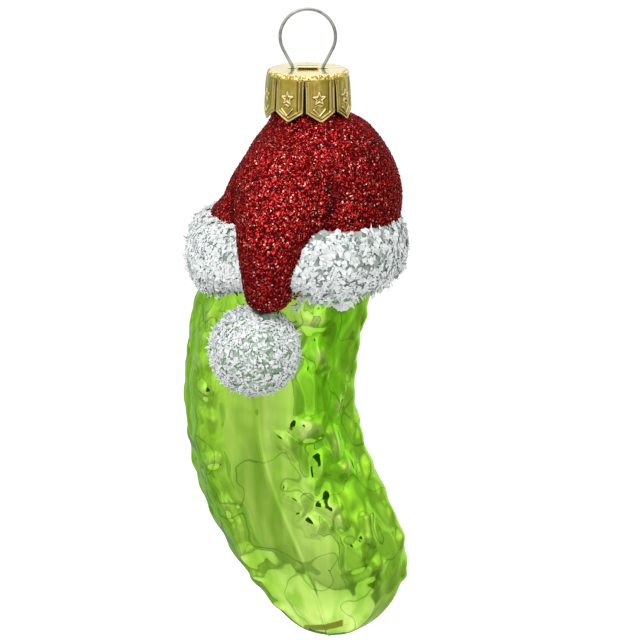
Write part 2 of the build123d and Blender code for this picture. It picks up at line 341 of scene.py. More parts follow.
def redGlitter():
    look = dict(dark=(0.022, 0.001, 0.002), mid=(0.16, 0.004, 0.008), bright=(0.92, 0.060, 0.052),
                spark=(1.0, 0.58, 0.50), rim=(0.030, 0.001, 0.003), edge=(0.75, 0.10, 0.10, 1),
                midSpan=(0.2, 0.85), brightSpan=(0.6, 0.9), sparkShare=0.963, rimSpan=(0.35, 0.9),
                rimShare=0.9)
    material, tree, shader = newMaterial("redGlitter", Metallic=0.8, Roughness=0.25,
                                         Specular_Tint=look["edge"], Specular_IOR_Level=0.2)
    cell = useGroup(tree, grains, Scale=3800.0, Tilt=0.7)
    color = mixColor(tree, ramp(tree, cell["Chance"], *look["midSpan"]), look["dark"], look["mid"])
    color = mixColor(tree, ramp(tree, cell["Second"], *look["brightSpan"]), color, look["bright"])
    sparks = mathNode(tree, "GREATER_THAN", cell["Second"], look["sparkShare"])
    color = mixColor(tree, sparks, color, look["spark"])
    # painted shade: the colour darkens where the coat turns away, where grains hide each other
    away = addNode(tree, "ShaderNodeLayerWeight", {"Blend": 0.5}).outputs["Facing"]
    color = mixColor(tree, ramp(tree, away, *look["rimSpan"], 0.0, look["rimShare"]), color, look["rim"])
    # painted shade: darker in the fold beside the tail, on the right and down the tail
    color = mixColor(tree, pointValue(tree, "fold"), color, look["rim"])
    tree.links.new(color, shader.inputs["Base Color"])
    tree.links.new(bumpFrom(tree, cell["Edge"], 0.5, 0.12, cell["Normal"]), shader.inputs["Normal"])
    return material


def whiteFlake():
    look = dict(shade=(0.62, 0.67, 0.65), clean=(0.82, 0.85, 0.85), lilac=(0.76, 0.73, 0.79),
                cleanSpan=(0.0, 0.6), lilacSpan=(0.86, 0.95), filmSize=2400.0, filmSpan=(0.3, 0.8), film=0.25)
    material, tree, shader = newMaterial("whiteFlake", Roughness=0.38)
    tone = pointValue(tree, "flakeTone")
    color = mixColor(tree, ramp(tree, tone, *look["cleanSpan"]), look["shade"], look["clean"])
    color = mixColor(tree, ramp(tree, tone, *look["lilacSpan"]), color, look["lilac"])
    place = objectPlace(tree)
    film = addNode(tree, "ShaderNodeTexNoise", {"Vector": place, "Scale": look["filmSize"], "Detail": 2.0})
    filmShare = ramp(tree, film.outputs[0], *look["filmSpan"], 0.0, look["film"])
    color = mixColor(tree, filmShare, color, look["shade"])
    tree.links.new(color, shader.inputs["Base Color"])
    tree.links.new(bumpFrom(tree, film.outputs[0], 0.3, 0.05), shader.inputs["Normal"])
    return material


def flakeBed(name, gap, glue):
    material, tree, shader = newMaterial(name, Metallic=0.0, Roughness=0.35, Coat_Weight=0.4)
    cell = useGroup(tree, grains, Scale=1100.0, Tilt=0.9)
    # painted shade: the dark gap tone stands in for the shade between the flakes
    color = mixColor(tree, ramp(tree, cell["Chance"], 0.25, 0.8), gap, glue)
    tree.links.new(color, shader.inputs["Base Color"])
    tree.links.new(bumpFrom(tree, cell["Edge"], 0.6, 0.2, cell["Normal"]), shader.inputs["Normal"])
    return material


def goldSheet():
    look = dict(pale=(0.49, 0.375, 0.10, 1), deep=(0.31, 0.23, 0.045, 1), groove=(0.085, 0.055, 0.010),
                worn=(0.95, 0.81, 0.48))
    material, tree, shader = newMaterial("goldSheet", Metallic=1.0)
    base = useGroup(tree, mottle, ToneA=look["pale"], ToneB=look["deep"], Patch=260.0, Smear=1600.0,
                    Gloss=0.14, Dull=0.27)
    # painted shade beside and along the pressed lines and in the crinkles of the rolled edge
    color = mixColor(tree, pointValue(tree, "groove"), base["Color"], look["groove"])
    # painted highlight, partly wear: pale on the pressed lines' crests, on the crinkles of the rolled edge,
    # and over the top disc and bridge
    color = mixColor(tree, pointValue(tree, "worn"), color, look["worn"])
    tree.links.new(color, shader.inputs["Base Color"])
    tree.links.new(base["Roughness"], shader.inputs["Roughness"])
    tree.links.new(bumpFrom(tree, base["Height"], 0.25, 0.05), shader.inputs["Normal"])
    return material


def steelWire():
    look = dict(bright=(0.36, 0.38, 0.395, 1), dull=(0.21, 0.23, 0.245, 1))
    material, tree, shader = newMaterial("steelWire", Metallic=1.0)
    base = useGroup(tree, mottle, ToneA=look["bright"], ToneB=look["dull"], Patch=700.0, Smear=3000.0,
                    Gloss=0.08, Dull=0.2)
    tree.links.new(base["Color"], shader.inputs["Base Color"])
    tree.links.new(base["Roughness"], shader.inputs["Roughness"])
    tree.links.new(bumpFrom(tree, base["Height"], 0.3, 0.03), shader.inputs["Normal"])
    return material


lacquer = greenLacquer()
silver = silverCoat()
glitter = redGlitter()
flake = whiteFlake()
brimBed = flakeBed("brimBed", (0.20, 0.25, 0.225), (0.46, 0.51, 0.49))
pompomBed = flakeBed("pompomBed", (0.22, 0.33, 0.22), (0.46, 0.58, 0.48))
gold = goldSheet()
steel = steelWire()
print("materials ready")


# the blown glass: neck, crown under the glitter, and the pickle below the brim

pickle = dict(radius=15.5, topRadius=15.1, depthRatio=0.94, endLength=21.7, waistDrop=27.2, waistShift=-7.05,
              upperBend=66.0, tipShift=11.5, bendFinish=2.8)
neck = dict(radius=6.35, wall=1.0, lip=0.25, slits=8, slitTurn=40.8, tarnishHalf=(0.40, 1.45),
            cleanTop=(0.8, 2.0), silverFoot=0.5)
crown = dict(under=0.7, underSpan=(0.0, 0.25), shoulder=8.0, radius=17.0, height=17.6, shift=1.5, lean=2.1,
             swell=0.85, flank=(0.8, 1.8), hem=(0.8, 1.0))
ribs = dict(count=8, turn=37.0, rise=0.35, seam=1, crease=0.10, seamRise=0.18, seamWidth=0.32,
            grooveTurn=32.0, grooveDepth=0.34, grooveWidth=1.5)
warts = dict(pitch=4.5, firstDrop=11.0, endGap=8.0, reach=2.35, rise=0.60, seed=11, uneven=0.42,
             unevenSize=2.3, flatter=0.85, longer=0.36, spin=2.4, pile=0.25, frontSize=1.2, frontRise=1.25,
             sizes=(0.65, 1.15), rises=(0.5, 1.15), strayTurn=0.11, strayLevel=0.9)
lacquerPool = dict(wartThin=0.75, wartSpan=(0.30, 0.75), panelThin=0.40, panelSpan=(20.0, 32.0), ring=0.18,
                   ringShare=(0.12, 0.09), sideSpan=(0.0, 0.6), flankSpan=(0.80, 0.98),
                   fadeSpan=(75.0, 98.0), fade=0.7, thinSpan=(6.0, 20.0))
drip = dict(level=3.6, half=0.95, tilt=0.30, span=(-0.9, 6.6), soft=0.15, softEnds=0.3)
glassMesh = dict(columns=400, step=0.28, wall=0.9, neckRows=8, crownRows=14, pickleTop=3.0, endRows=1.35,
                 stillRows=12, innerGap=8, innerStep=6, waver=0.14, waverSize=6.5, ripple=0.04,
                 rippleSize=2.5, lump=0.38, lumpSize=3.5, lumpTurn=(20.0, 34.0), calm=0.8,
                 calmSpan=(7.0, 15.0))
endLevel = tipLevel + pickle["endLength"]
waistLevel = brimLevel - pickle["waistDrop"]
crownFoot = shoulderLevel - crown["height"]
ribTurns = [math.radians(ribs["turn"] + 360 / ribs["count"] * rib) for rib in range(ribs["count"])]
seamTurns = [turn for rib, turn in enumerate(ribTurns) if rib % (ribs["count"] // 2) == ribs["seam"]]

# warts on the front: degrees right of the front, level, size, height
frontWarts = [
    (23, -54.3, 1.0, 0.9), (33, -61.3, 1.0, 1.0), (39, -64.4, 0.5, 0.5), (55, -70.9, 0.9, 0.9),
    (26, -74.6, 1.0, 1.0), (10, -76.9, 0.8, 0.6), (44, -77.9, 0.9, 1.0), (30, -81.4, 0.9, 0.9),
    (49, -82.4, 0.9, 1.0), (6, -88.1, 0.7, 0.5), (24, -89.4, 0.9, 0.9), (-1, -85.9, 0.35, 0.25),
    (3, -90.3, 0.4, 0.3), (11, -92.3, 0.8, 0.7), (27, -92.0, 0.7, 0.7), (43, -94.8, 1.0, 1.0),
    (31, -98.9, 1.0, 0.9), (42, -101.6, 0.9, 0.8), (-12, -101.6, 0.5, 0.35)]


def pickleMiddle(z):
    drop = waistLevel - z
    upper = pickle["waistShift"] + drop**2 / (2 * pickle["upperBend"])
    share = np.clip(drop / (waistLevel - tipLevel - pickle["bendFinish"]), 0, 1)
    lower = pickle["waistShift"] + pickle["tipShift"] * (1 - np.cos(np.pi * share)) / 2
    return np.where(drop < 0, upper, lower)


def pickleReach(z):
    share = np.clip((endLevel - z) / pickle["endLength"], 0, 1)
    widen = (pickle["topRadius"] - pickle["radius"]) * np.maximum(0, z - endLevel) / (brimLevel - endLevel)
    return (pickle["radius"] + widen) * np.sqrt(1 - share**2)


def turnAway(turns, middle):
    # the smaller angle between directions
    return np.abs((turns - middle + np.pi) % (2 * np.pi) - np.pi)


def fromSeam(turns):
    return np.min([turnAway(turns, seam) for seam in seamTurns], axis=0)


def ribWave(turns):
    # soft lobes, but creased where the mould parts
    wave = np.cos(ribs["count"] * (turns - ribTurns[0]))
    half = ribs["count"] / 2
    crease = 1 - 2 * np.sqrt(np.sin(half * (turns - seamTurns[0]))**2 + ribs["crease"]**2)
    return np.where(fromSeam(turns) < np.pi / ribs["count"], crease, wave)


def ribGrooves(turns):
    # shallow grooves on both sides of the smooth panels along the mould's seams
    depth = 0 * turns
    for seam in seamTurns:
        for side in (-1, 1):
            away = turnAway(turns, seam + side * math.radians(ribs["grooveTurn"])) * pickle["radius"]
            depth = depth + ribs["grooveDepth"] * np.exp(-(away / ribs["grooveWidth"])**2)
    return depth


def pickleSkin(turns, z):
    reach = pickleReach(z)
    stretch = np.sqrt(1 + ((pickleMiddle(z + 0.05) - pickleMiddle(z - 0.05)) / 0.1)**2)
    lobed = reach + reach / pickle["radius"] * (ribs["rise"] * ribWave(turns) - ribGrooves(turns))
    x = pickleMiddle(z) + lobed * stretch * np.cos(turns)
    y = pickle["depthRatio"] * lobed * np.sin(turns)
    return np.stack([x, y, z + 0 * turns], axis=-1)


def crownReach(turns, share):
    swell = np.sin(np.pi / 2 * np.clip(share, 0, 1))**crown["swell"]
    # the left flank is flatter, and the hem flares out below it
    top, foot = crown["flank"]
    flank = (top + (foot - top) * share) * (1 - smoothStep(share, *crown["hem"]))
    reach = crown["shoulder"] + (crown["radius"] - crown["shoulder"]) * swell
    return reach - flank * np.clip(-np.cos(turns), 0, 1)**2


def crownSkin(turns, share, offset=0.0):
    reach = crownReach(turns, share) + offset
    x = crown["shift"] - crown["lean"] * share**2 + reach * np.cos(turns)
    z = shoulderLevel - crown["height"] * share + offset * (1 - share)
    return np.stack([x, reach * np.sin(turns), z + 0 * turns], axis=-1)


def wartList():
    rng = np.random.default_rng(warts["seed"])
    found = []
    for across, level, size, rise in frontWarts:
        turn = math.radians(270 + across)
        found.append((turn, level, warts["frontSize"] * size, warts["frontRise"] * rise))
    frontRib = seamTurns[1] + 2 * np.pi / ribs["count"]
    for rib, turn in enumerate(ribTurns):
        if turn in seamTurns or abs(turn - frontRib) < 0.1:
            continue
        z = brimLevel - warts["firstDrop"] - (rib % 2) * warts["pitch"] / 2
        while z > tipLevel + warts["endGap"]:
            shift = rng.uniform(-1, 1, 2)
            place = (turn + warts["strayTurn"] * shift[0], z + warts["strayLevel"] * shift[1])
            found.append((*place, rng.uniform(*warts["sizes"]), rng.uniform(*warts["rises"])))
            z -= warts["pitch"]
    return found


def gridNormals(grid):
    along = np.roll(grid, -1, axis=1) - np.roll(grid, 1, axis=1)
    down = np.gradient(grid, axis=0)
    return unit(np.cross(down, along))


def glassGrid(turns):
    # the glass without its warts, as rows of points from the rim down to the tip
    rows = []
    around = np.stack([np.cos(turns), np.sin(turns)], -1) * neck["radius"]
    for z in np.linspace(rimLevel - neck["lip"], shoulderLevel, glassMesh["neckRows"]):
        rows.append(np.concatenate([around, np.full((len(turns), 1), z)], axis=1))
    for share in np.linspace(0.0, 1.0, glassMesh["crownRows"]):
        rows.append(crownSkin(turns, share, -crown["under"] * smoothStep(share, *crown["underSpan"])))
    top = brimLevel - glassMesh["pickleTop"]
    foot = rows[-1]
    for share in (0.25, 0.5, 0.75):
        rows.append(foot + (pickleSkin(turns, top) - foot) * share)
    straight = np.arange(top, endLevel, -glassMesh["step"])
    endCount = int(glassMesh["endRows"] * pickle["endLength"] / glassMesh["step"])
    bend = np.linspace(0, np.pi / 2, endCount)[:-1]
    levels = np.concatenate([straight, endLevel - pickle["endLength"] * np.sin(bend)])
    firstPickle = len(rows)
    rows += [pickleSkin(turns, z) for z in levels]
    return np.array(rows), firstPickle


def glassLift(base, turns, firstPickle):
    # how far warts, the seam, lumps and waves lift the glass, and the rings round the warts
    columns = len(turns)
    flat = base[firstPickle:].reshape(-1, 3)
    lift = np.zeros(base.shape[:2])
    ring = np.zeros(base.shape[:2])
    uneven = np.ones(base.shape[:2])
    rough = warts["uneven"] * smoothNoise(flat, warts["unevenSize"], seed=5.0)
    uneven[firstPickle:] += rough.reshape(-1, columns)
    middle, width = lacquerPool["ringShare"]
    for index, (turn, level, size, rise) in enumerate(wartList()):
        away = base - pickleSkin(np.array([turn]), level)[0]
        away[..., 2] *= warts["flatter"]
        # each wart is drawn out its own way
        lean = math.cos(warts["spin"] * index)
        drawn = np.array([-math.sin(turn) * lean, math.cos(turn) * lean, math.sin(warts["spin"] * index)])
        away = away - warts["longer"] * (away @ drawn)[..., None] * drawn
        share = np.linalg.norm(away, axis=-1) * uneven / (warts["reach"] * size)
        share = np.clip(1 - share**2, 0, 1)
        lift = np.maximum(lift, warts["rise"] * rise * share**2) + warts["pile"] * np.minimum(lift, share)
        around = lacquerPool["ring"] * np.exp(-((share - middle) / width)**2)
        ring = np.maximum(ring, around * (share > 0))
    seamAway = fromSeam(turns)
    lift[firstPickle:] += ribs["seamRise"] * np.exp(-(seamAway * pickle["radius"] / ribs["seamWidth"])**2)
    waver = glassMesh["waver"] * smoothNoise(flat, glassMesh["waverSize"], seed=3.0)
    ripple = glassMesh["ripple"] * smoothNoise(flat, glassMesh["rippleSize"], seed=8.0)
    lump = glassMesh["lump"] * smoothNoise(flat, glassMesh["lumpSize"], seed=13.0)
    lump = lump.reshape(-1, columns) * smoothStep(np.degrees(seamAway), *glassMesh["lumpTurn"])
    calm = 1 - glassMesh["calm"] * smoothStep(endLevel - base[firstPickle:, :, 2], *glassMesh["calmSpan"])
    lift[firstPickle:] += ((waver + ripple).reshape(-1, columns) + lump) * calm
    lift[-glassMesh["stillRows"]:] *= np.linspace(1, 0, glassMesh["stillRows"])[:, None]
    return lift, ring


def paintGlass(mesh, outer, turns, lift):
    # lacquer pools on the right and is thin on the end, the warts and the smooth panels; this is partly
    # painted light: the saturated right side is painted shade, and the paler end, wart tops and panels are
    # painted highlight
    pooled = smoothStep(np.cos(turns), *lacquerPool["sideSpan"])[None] + 0 * outer[..., 0]
    pooled = pooled * (1 - lacquerPool["fade"] * smoothStep(-outer[..., 2], *lacquerPool["fadeSpan"]))
    pooled = pooled * (1 - lacquerPool["fade"] * smoothStep(np.cos(turns), *lacquerPool["flankSpan"]))[None]
    thin = smoothStep(endLevel - outer[..., 2], *lacquerPool["thinSpan"])
    thin = np.maximum(thin, lacquerPool["wartThin"] * smoothStep(lift, *lacquerPool["wartSpan"]))
    onPanel = 1 - smoothStep(np.degrees(fromSeam(turns)), *lacquerPool["panelSpan"])
    thin = np.maximum(thin, lacquerPool["panelThin"] * onPanel[None])
    addValues(mesh, "pooled", (pooled * (1 - thin)).ravel())
    addValues(mesh, "thin", thin.ravel())
    # an olive band across the front of the tip
    x, y, z = np.moveaxis(outer, -1, 0)
    left, right = drip["span"]
    off = z - tipLevel - drip["level"] - drip["tilt"] * (x - (left + right) / 2)
    dripped = smoothStep(drip["half"] - np.abs(off), 0, drip["soft"]) * (y < 0)
    dripped = dripped * smoothStep(x - left, 0, drip["softEnds"]) * smoothStep(right - x, 0, drip["softEnds"])
    addValues(mesh, "drip", dripped.ravel())
    # painted shade: the silver neck is darkened in narrow streaks behind the slits of the cap, standing in
    # for the shade inside the slits
    pitch = 2 * np.pi / neck["slits"]
    fromSlit = np.abs((turns - math.radians(neck["slitTurn"]) + pitch / 2) % pitch - pitch / 2)
    tarnish = (1 - smoothStep(fromSlit * neck["radius"], *neck["tarnishHalf"]))[None]
    tarnish = tarnish * smoothStep(rimLevel - z, *neck["cleanTop"]) * (z > shoulderLevel)
    addValues(mesh, "tarnish", tarnish.ravel())


def blownGlass():
    columns = glassMesh["columns"]
    turns = seamTurns[1] + np.arange(columns) * 2 * np.pi / columns
    base, firstPickle = glassGrid(turns)
    normals = gridNormals(base)
    lift, ring = glassLift(base, turns, firstPickle)
    outer = base + normals * lift[..., None]
    rowCount = len(base)
    innerRows = list(range(rowCount - glassMesh["innerGap"], 0, -glassMesh["innerStep"])) + [0]
    inner = np.array([base[row] - normals[row] * glassMesh["wall"] for row in innerRows])
    inner[-1] = base[0] * (1 - neck["wall"] / neck["radius"])
    inner[-1, :, 2] = rimLevel - neck["lip"]
    lip = (outer[0] + inner[-1]) / 2
    lip[:, 2] = rimLevel
    tip = np.array([[*outer[-1].mean(axis=0)[:2], tipLevel], inner[0].mean(axis=0)])
    points = np.concatenate([outer.reshape(-1, 3), inner.reshape(-1, 3), lip, tip])
    outerCount = rowCount * columns
    lipStart = outerCount + len(innerRows) * columns
    tipPoint = lipStart + columns
    lastOuter = outerCount - columns
    lastInner = lipStart - columns
    faces = ringFaces(rowCount, columns) + ringFaces(len(innerRows), columns, outerCount)
    for col in range(columns):
        after = (col + 1) % columns
        faces.append((lastOuter + col, tipPoint, lastOuter + after))
        faces.append((outerCount + col, outerCount + after, tipPoint + 1))
        faces.append((col, after, lipStart + after, lipStart + col))
        faces.append((lastInner + col, lipStart + col, lipStart + after, lastInner + after))
    mesh = meshFrom("blown_glass", points, faces)
    outwardFaces(mesh)
    paintGlass(mesh, outer, turns, lift)
    addValues(mesh, "ring", ring.ravel())
    piece = objectFrom("blown_glass", mesh, lacquer, silver)
    silverLevel = (shoulderLevel + neck["silverFoot"]) * mm
    isSilver = [int(face.center.z > silverLevel or face.vertices[0] >= outerCount) for face in mesh.polygons]
    mesh.polygons.foreach_set("material_index", isSilver)
    dress(piece, "glass", "green_glass", "glass_body")


blownGlass()


# the hat: crown and tail melted into one skin, then grained and strewn with glitter

hat = dict(coat=0.40, collar=3.4, collarFoot=0.6, foot=3.4, footShift=-0.6, columns=120, rows=24, voxel=0.32,
           trim=0.2, melt=150, meltSpan=(-27.0, -20.0), evenRounds=6, fold=0.55, foldGap=0.15, foldWidth=0.8,
           foldSpan=(-29.0, -22.0), foldTone=0.85, sparse=0.32, sparseRight=(4.0, 13.0),
           sparseFoot=(-46.0, -33.0), grain=0.055, seed=21, grains=5200, grainSize=(0.15, 0.24),
           grainLift=0.06, grainLean=0.40)
spill = dict(across=(5.0, 3.0), levels=(-50.5, -45.5), count=240)
tail = dict(rootRadius=9.2, flare=12.3, tipRadius=2.6, taper=0.68, root=(-1.6, -2.5, -8.6), swing=4.9,
            sink=2.7, end=0.855, endDepth=1.7, endBends=(0.35, 0.7, 1.0, 1.3), rows=30, sides=48)
brim = dict(radius=15.5, halfWidth=4.2, halfHeight=6.7, shift=-2.0, tilt=4.0, fuller=0.8,
            drawn=((3.0, 234.0, 24.0), (2.6, 269.0, 9.0)), columns=160, tubes=48, bedLump=0.15,
            bedLumpSize=2.0)
pompom = dict(radius=7.6, gap=1.3, swing=3.5, sink=0.4, columns=72, rows=40, lump=0.18, lumpSize=0.3)
pompomLevel = brimLevel - brim["halfHeight"] - pompom["gap"] - pompom["radius"]
pompomCentre = np.array([pickleMiddle(pompomLevel) - pompom["swing"],
                         pompom["sink"] - pickle["radius"] * pickle["depthRatio"], pompomLevel])


def tailPath(shares):
    root = np.array(tail["root"]) + (0, 0, shoulderLevel)
    overBrim = np.array([brim["shift"] - tail["swing"],
                         tail["sink"] - brim["radius"] - brim["halfWidth"], brimLevel])
    end = pompomCentre + (tail["tipRadius"], 0, pompom["radius"] - tail["tipRadius"])
    first = np.linalg.norm(overBrim - root)
    knot = first / (first + np.linalg.norm(end - overBrim))
    t = np.asarray(shares)[:, None]
    return (root * (t - knot) * (t - 1) / knot + overBrim * t * (t - 1) / (knot * (knot - 1))
            + end * t * (t - knot) / (1 - knot))


def tailReach(shares):
    flared = tail["flare"] + (tail["tipRadius"] - tail["flare"]) * np.asarray(shares)**tail["taper"]
    return np.minimum(tail["rootRadius"], flared)


def tailAway(points):
    # how far points lie outside the tail's coat
    shares = np.linspace(0, tail["end"], 40)
    path, reach = tailPath(shares), tailReach(shares) + hat["coat"]
    return (np.linalg.norm(points[:, None] - path[None], axis=-1) - reach[None]).min(axis=1)


def sweepRings(path, reach, sides):
    ahead = unit(np.gradient(path, axis=0))
    side = unit(np.cross(ahead, (0.0, 1.0, 0.15)))
    upward = np.cross(side, ahead)
    turns = np.arange(sides) * 2 * np.pi / sides
    spread = side[:, None] * np.cos(turns)[None, :, None] + upward[:, None] * np.sin(turns)[None, :, None]
    return path[:, None] + spread * reach[:, None, None]


def closedRings(rings):
    # rings of points closed at both ends by a pole
    rows, cols = rings.shape[:2]
    points = np.concatenate([rings.reshape(-1, 3), rings[:1].mean(axis=1), rings[-1:].mean(axis=1)])
    faces = ringFaces(rows, cols)
    for col in range(cols):
        after = (col + 1) % cols
        last = (rows - 1) * cols
        faces.append((col, after, rows * cols))
        faces.append((last + after, last + col, rows * cols + 1))
    return points, faces


def meltSkin(mesh, rounds, share):
    ends = np.zeros(len(mesh.edges) * 2, dtype=int)
    mesh.edges.foreach_get("vertices", ends)
    ends = ends.reshape(-1, 2)
    points = pointsOf(mesh)
    count = np.bincount(ends.ravel(), minlength=len(points))[:, None]
    for _ in range(rounds):
        total = np.zeros_like(points)
        np.add.at(total, ends[:, 0], points[ends[:, 1]])
        np.add.at(total, ends[:, 1], points[ends[:, 0]])
        points = points + share[:, None] * 0.5 * (total / count - points)
    setPoints(mesh, points)


def hatSkin():
    turns = np.arange(hat["columns"]) * 2 * np.pi / hat["columns"]
    rows = []
    collarReach = neck["radius"] + hat["coat"]
    for level in (hat["collar"], hat["collarFoot"]):
        rows.append(np.stack([collarReach * np.cos(turns), collarReach * np.sin(turns),
                              shoulderLevel + level + 0 * turns], -1))
    for share in np.linspace(0, 1, hat["rows"]):
        rows.append(crownSkin(turns, share, hat["coat"]))
    rows.append(rows[-1] + (hat["footShift"], 0, -hat["foot"]))
    crownPoints, crownFaces = closedRings(np.array(rows))
    shares = np.linspace(0, tail["end"], tail["rows"])
    path = tailPath(shares)
    rings = list(sweepRings(path, tailReach(shares) + hat["coat"], tail["sides"]))
    lastRing, drop = rings[-1], unit(path[-1] - path[-2]) * tail["endDepth"]
    for bend in tail["endBends"]:
        rings.append(path[-1] + (lastRing - path[-1]) * math.cos(bend) + drop * math.sin(bend))
    tailPoints, tailFaces = closedRings(np.array(rings))
    shift = len(crownPoints)
    faces = crownFaces + [tuple(v + shift for v in face) for face in tailFaces]
    mesh = meshFrom("hat", np.concatenate([crownPoints, tailPoints]), faces)
    outwardFaces(mesh)
    piece = objectFrom("hat_skin", mesh, glitter)
    union = piece.modifiers.new("union", "REMESH")
    union.mode = "VOXEL"
    union.voxel_size = hat["voxel"] * mm
    return applyModifiers(piece)


def openHat(piece):
    # the collar's top and the foot inside the brim are open, so the coat is a shell round the glass
    mesh = piece.data
    work = bmesh.new()
    work.from_mesh(mesh)
    top = (shoulderLevel + hat["collar"] - hat["trim"]) * mm
    foot = (crownFoot - hat["foot"] + hat["trim"]) * mm
    centre = Vector((hat["footShift"], 0, 0)) * mm
    cut = []
    for face in work.faces:
        place = face.calc_center_median()
        inFoot = place.z < foot and (place.xy - centre.xy).length < crown["radius"] * mm
        if place.z > top or (inFoot and face.normal.z < -0.5):
            cut.append(face)
    bmesh.ops.delete(work, geom=cut, context="FACES")
    work.to_mesh(mesh)
    work.free()


shard = dict(standShare=0.2, stand=4.0, steepest=1.2, stray=0.4, reach=(0.6, 1.0))  # a few stand up


def shardMesh(spots, normals, sizes, lean, rng, corners=5, thin=0.05, curl=0.2, stretch=(0.9, 1.4),
              narrow=(0.55, 1.0)):
    # thin closed shards lying on a surface, each with its own outline, spin, tilt and curl
    count = len(spots)
    guide = unit(np.cross(normals, (0.31, 0.52, 0.79)))
    spin = rng.uniform(0, 2 * np.pi, count)[:, None]
    along = guide * np.cos(spin) + np.cross(normals, guide) * np.sin(spin)
    across = np.cross(normals, along)
    tilt = rng.normal(0, lean, count)
    tilt = tilt * np.where(rng.uniform(0, 1, count) < shard["standShare"], shard["stand"], 1.0)
    tilt = np.clip(tilt, -shard["steepest"], shard["steepest"])[:, None]
    upward = normals * np.cos(tilt) + along * np.sin(tilt)
    along = along * np.cos(tilt) - normals * np.sin(tilt)
    turns = np.arange(corners) * 2 * np.pi / corners
    turns = turns + rng.uniform(-shard["stray"], shard["stray"], (count, corners))
    reach = rng.uniform(*shard["reach"], (count, corners))
    u = reach * np.cos(turns) * rng.uniform(*stretch, (count, 1))
    v = reach * np.sin(turns) * rng.uniform(*narrow, (count, 1))
    bend = rng.uniform(-curl, curl, (count, 1)) * u**2
    size = np.asarray(sizes)[:, None, None]
    top = spots[:, None] + size * (u[..., None] * along[:, None] + v[..., None] * across[:, None]
                                   + bend[..., None] * upward[:, None])
    bottom = top - thin * upward[:, None]
    points = np.concatenate([top, bottom], axis=1).reshape(-1, 3)
    faces = []
    for first in range(0, count * 2 * corners, 2 * corners):
        faces.append(tuple(range(first, first + corners)))
        faces.append(tuple(range(first + 2 * corners - 1, first + corners - 1, -1)))
        for corner in range(corners):
            after = (corner + 1) % corners
            faces.append((first + corner, first + corners + corner, first + corners + after, first + after))
    return points, faces


def skinSpots(mesh, count, rng):
    # places spread evenly over a mesh, with the surface's normals
    points, normals = pointsOf(mesh), normalsOf(mesh)
    mesh.calc_loop_triangles()
    corners = np.zeros(len(mesh.loop_triangles) * 3, dtype=int)
    mesh.loop_triangles.foreach_get("vertices", corners)
    corners = corners.reshape(-1, 3)
    a, b, c = points[corners[:, 0]], points[corners[:, 1]], points[corners[:, 2]]
    area = np.linalg.norm(np.cross(b - a, c - a), axis=1)
    picked = rng.choice(len(corners), count, p=area / area.sum())
    share = np.sort(rng.uniform(0, 1, (count, 2)), axis=1)
    weights = np.stack([share[:, 0], share[:, 1] - share[:, 0], 1 - share[:, 1]], axis=1)
    spots = (points[corners[picked]] * weights[..., None]).sum(axis=1)
    return spots, unit((normals[corners[picked]] * weights[..., None]).sum(axis=1))


def onGlass(turns, levels):
    # places on the pickle, with the normals of its round form
    spots = np.array([pickleSkin(np.array([turn]), level)[0] for turn, level in zip(turns, levels)])
    return spots, np.stack([np.cos(turns), np.sin(turns), 0 * turns], -1)


def santaHat():
    rng = np.random.default_rng(hat["seed"])
    piece = hatSkin()
    mesh = piece.data
    outwardFaces(mesh)
    level = pointsOf(mesh)[:, 2]
    meltSkin(mesh, hat["melt"], smoothStep(level, *hat["meltSpan"]))
    meltSkin(mesh, hat["evenRounds"], np.ones(len(level)))
    # the skin dips beside the tail where it folds over the crown
    points = pointsOf(mesh)
    beside = np.maximum(0, tailAway(points) - hat["foldGap"]) / hat["foldWidth"]
    fold = beside * np.exp(1 - beside) * (1 - smoothStep(level, *hat["foldSpan"]))
    setPoints(mesh, points - normalsOf(mesh) * (hat["fold"] * fold)[:, None])
    # painted shade: the glitter is darker on the right and down the tail
    aside = smoothStep(points[:, 0], *hat["sparseRight"])
    sparse = hat["sparse"] * np.maximum(aside, 1 - smoothStep(level, *hat["sparseFoot"]))
    # painted shade: the fold attribute darkens the glitter in the fold beside the tail, and on the right and
    # down the tail
    addValues(mesh, "fold", np.maximum(hat["foldTone"] * fold**2, sparse))
    openHat(piece)
    spots, normals = skinSpots(mesh, hat["grains"], rng)
    points = pointsOf(mesh)
    points += normalsOf(mesh) * rng.normal(0, hat["grain"], (len(points), 1))
    setPoints(mesh, points)
    shell = piece.modifiers.new("shell", "SOLIDIFY")
    shell.thickness = hat["coat"] * mm
    shell.offset = -1
    applyModifiers(piece)
    # some grains spilled onto the glass beside the end of the tail
    turns = np.radians(270 + rng.normal(*spill["across"], spill["count"]))
    spilled, spilledNormals = onGlass(turns, rng.uniform(*spill["levels"], spill["count"]))
    spots = np.concatenate([spots, spilled])
    normals = np.concatenate([normals, spilledNormals])
    sizes = rng.uniform(*hat["grainSize"], len(spots))
    strewn = shardMesh(spots + hat["grainLift"] * normals, normals, sizes, hat["grainLean"], rng,
                       corners=6, thin=0.03, curl=0.0, stretch=(1.0, 1.1), narrow=(0.9, 1.0))
    strewn = objectFrom("hat_glitter", meshFrom("hat_glitter", *strewn), glitter, smooth=False)
    piece.name = "hat_coat"
    dress(piece, "glass", "red_glitter", "hat_glitter_coat")
    dress(strewn, "glass", "red_glitter", "hat_glitter_coat")


santaHat()


# white flakes on the brim and the pompom, over a bed of glue whose dark gap tone is painted shade between the
# flakes

flakes = dict(coat=0.35, brimCount=9000, pompomCount=3200, size=(0.22, 1.0), pompomSize=(0.18, 0.62),
              smaller=1.7, lean=0.16, seed=5, lift=(0.03, 0.35), clumpSize=1.5, clump=0.78, gaps=1.35,
              fullSide=0.35, shreds=0.24, pompomShreds=0.36, shredSize=(0.35, 0.85), shredLean=0.6,
              inside=-0.55, worn=0.55, wornSide=(-0.1, -0.95, -0.2), wornSpan=(0.6, 0.95))
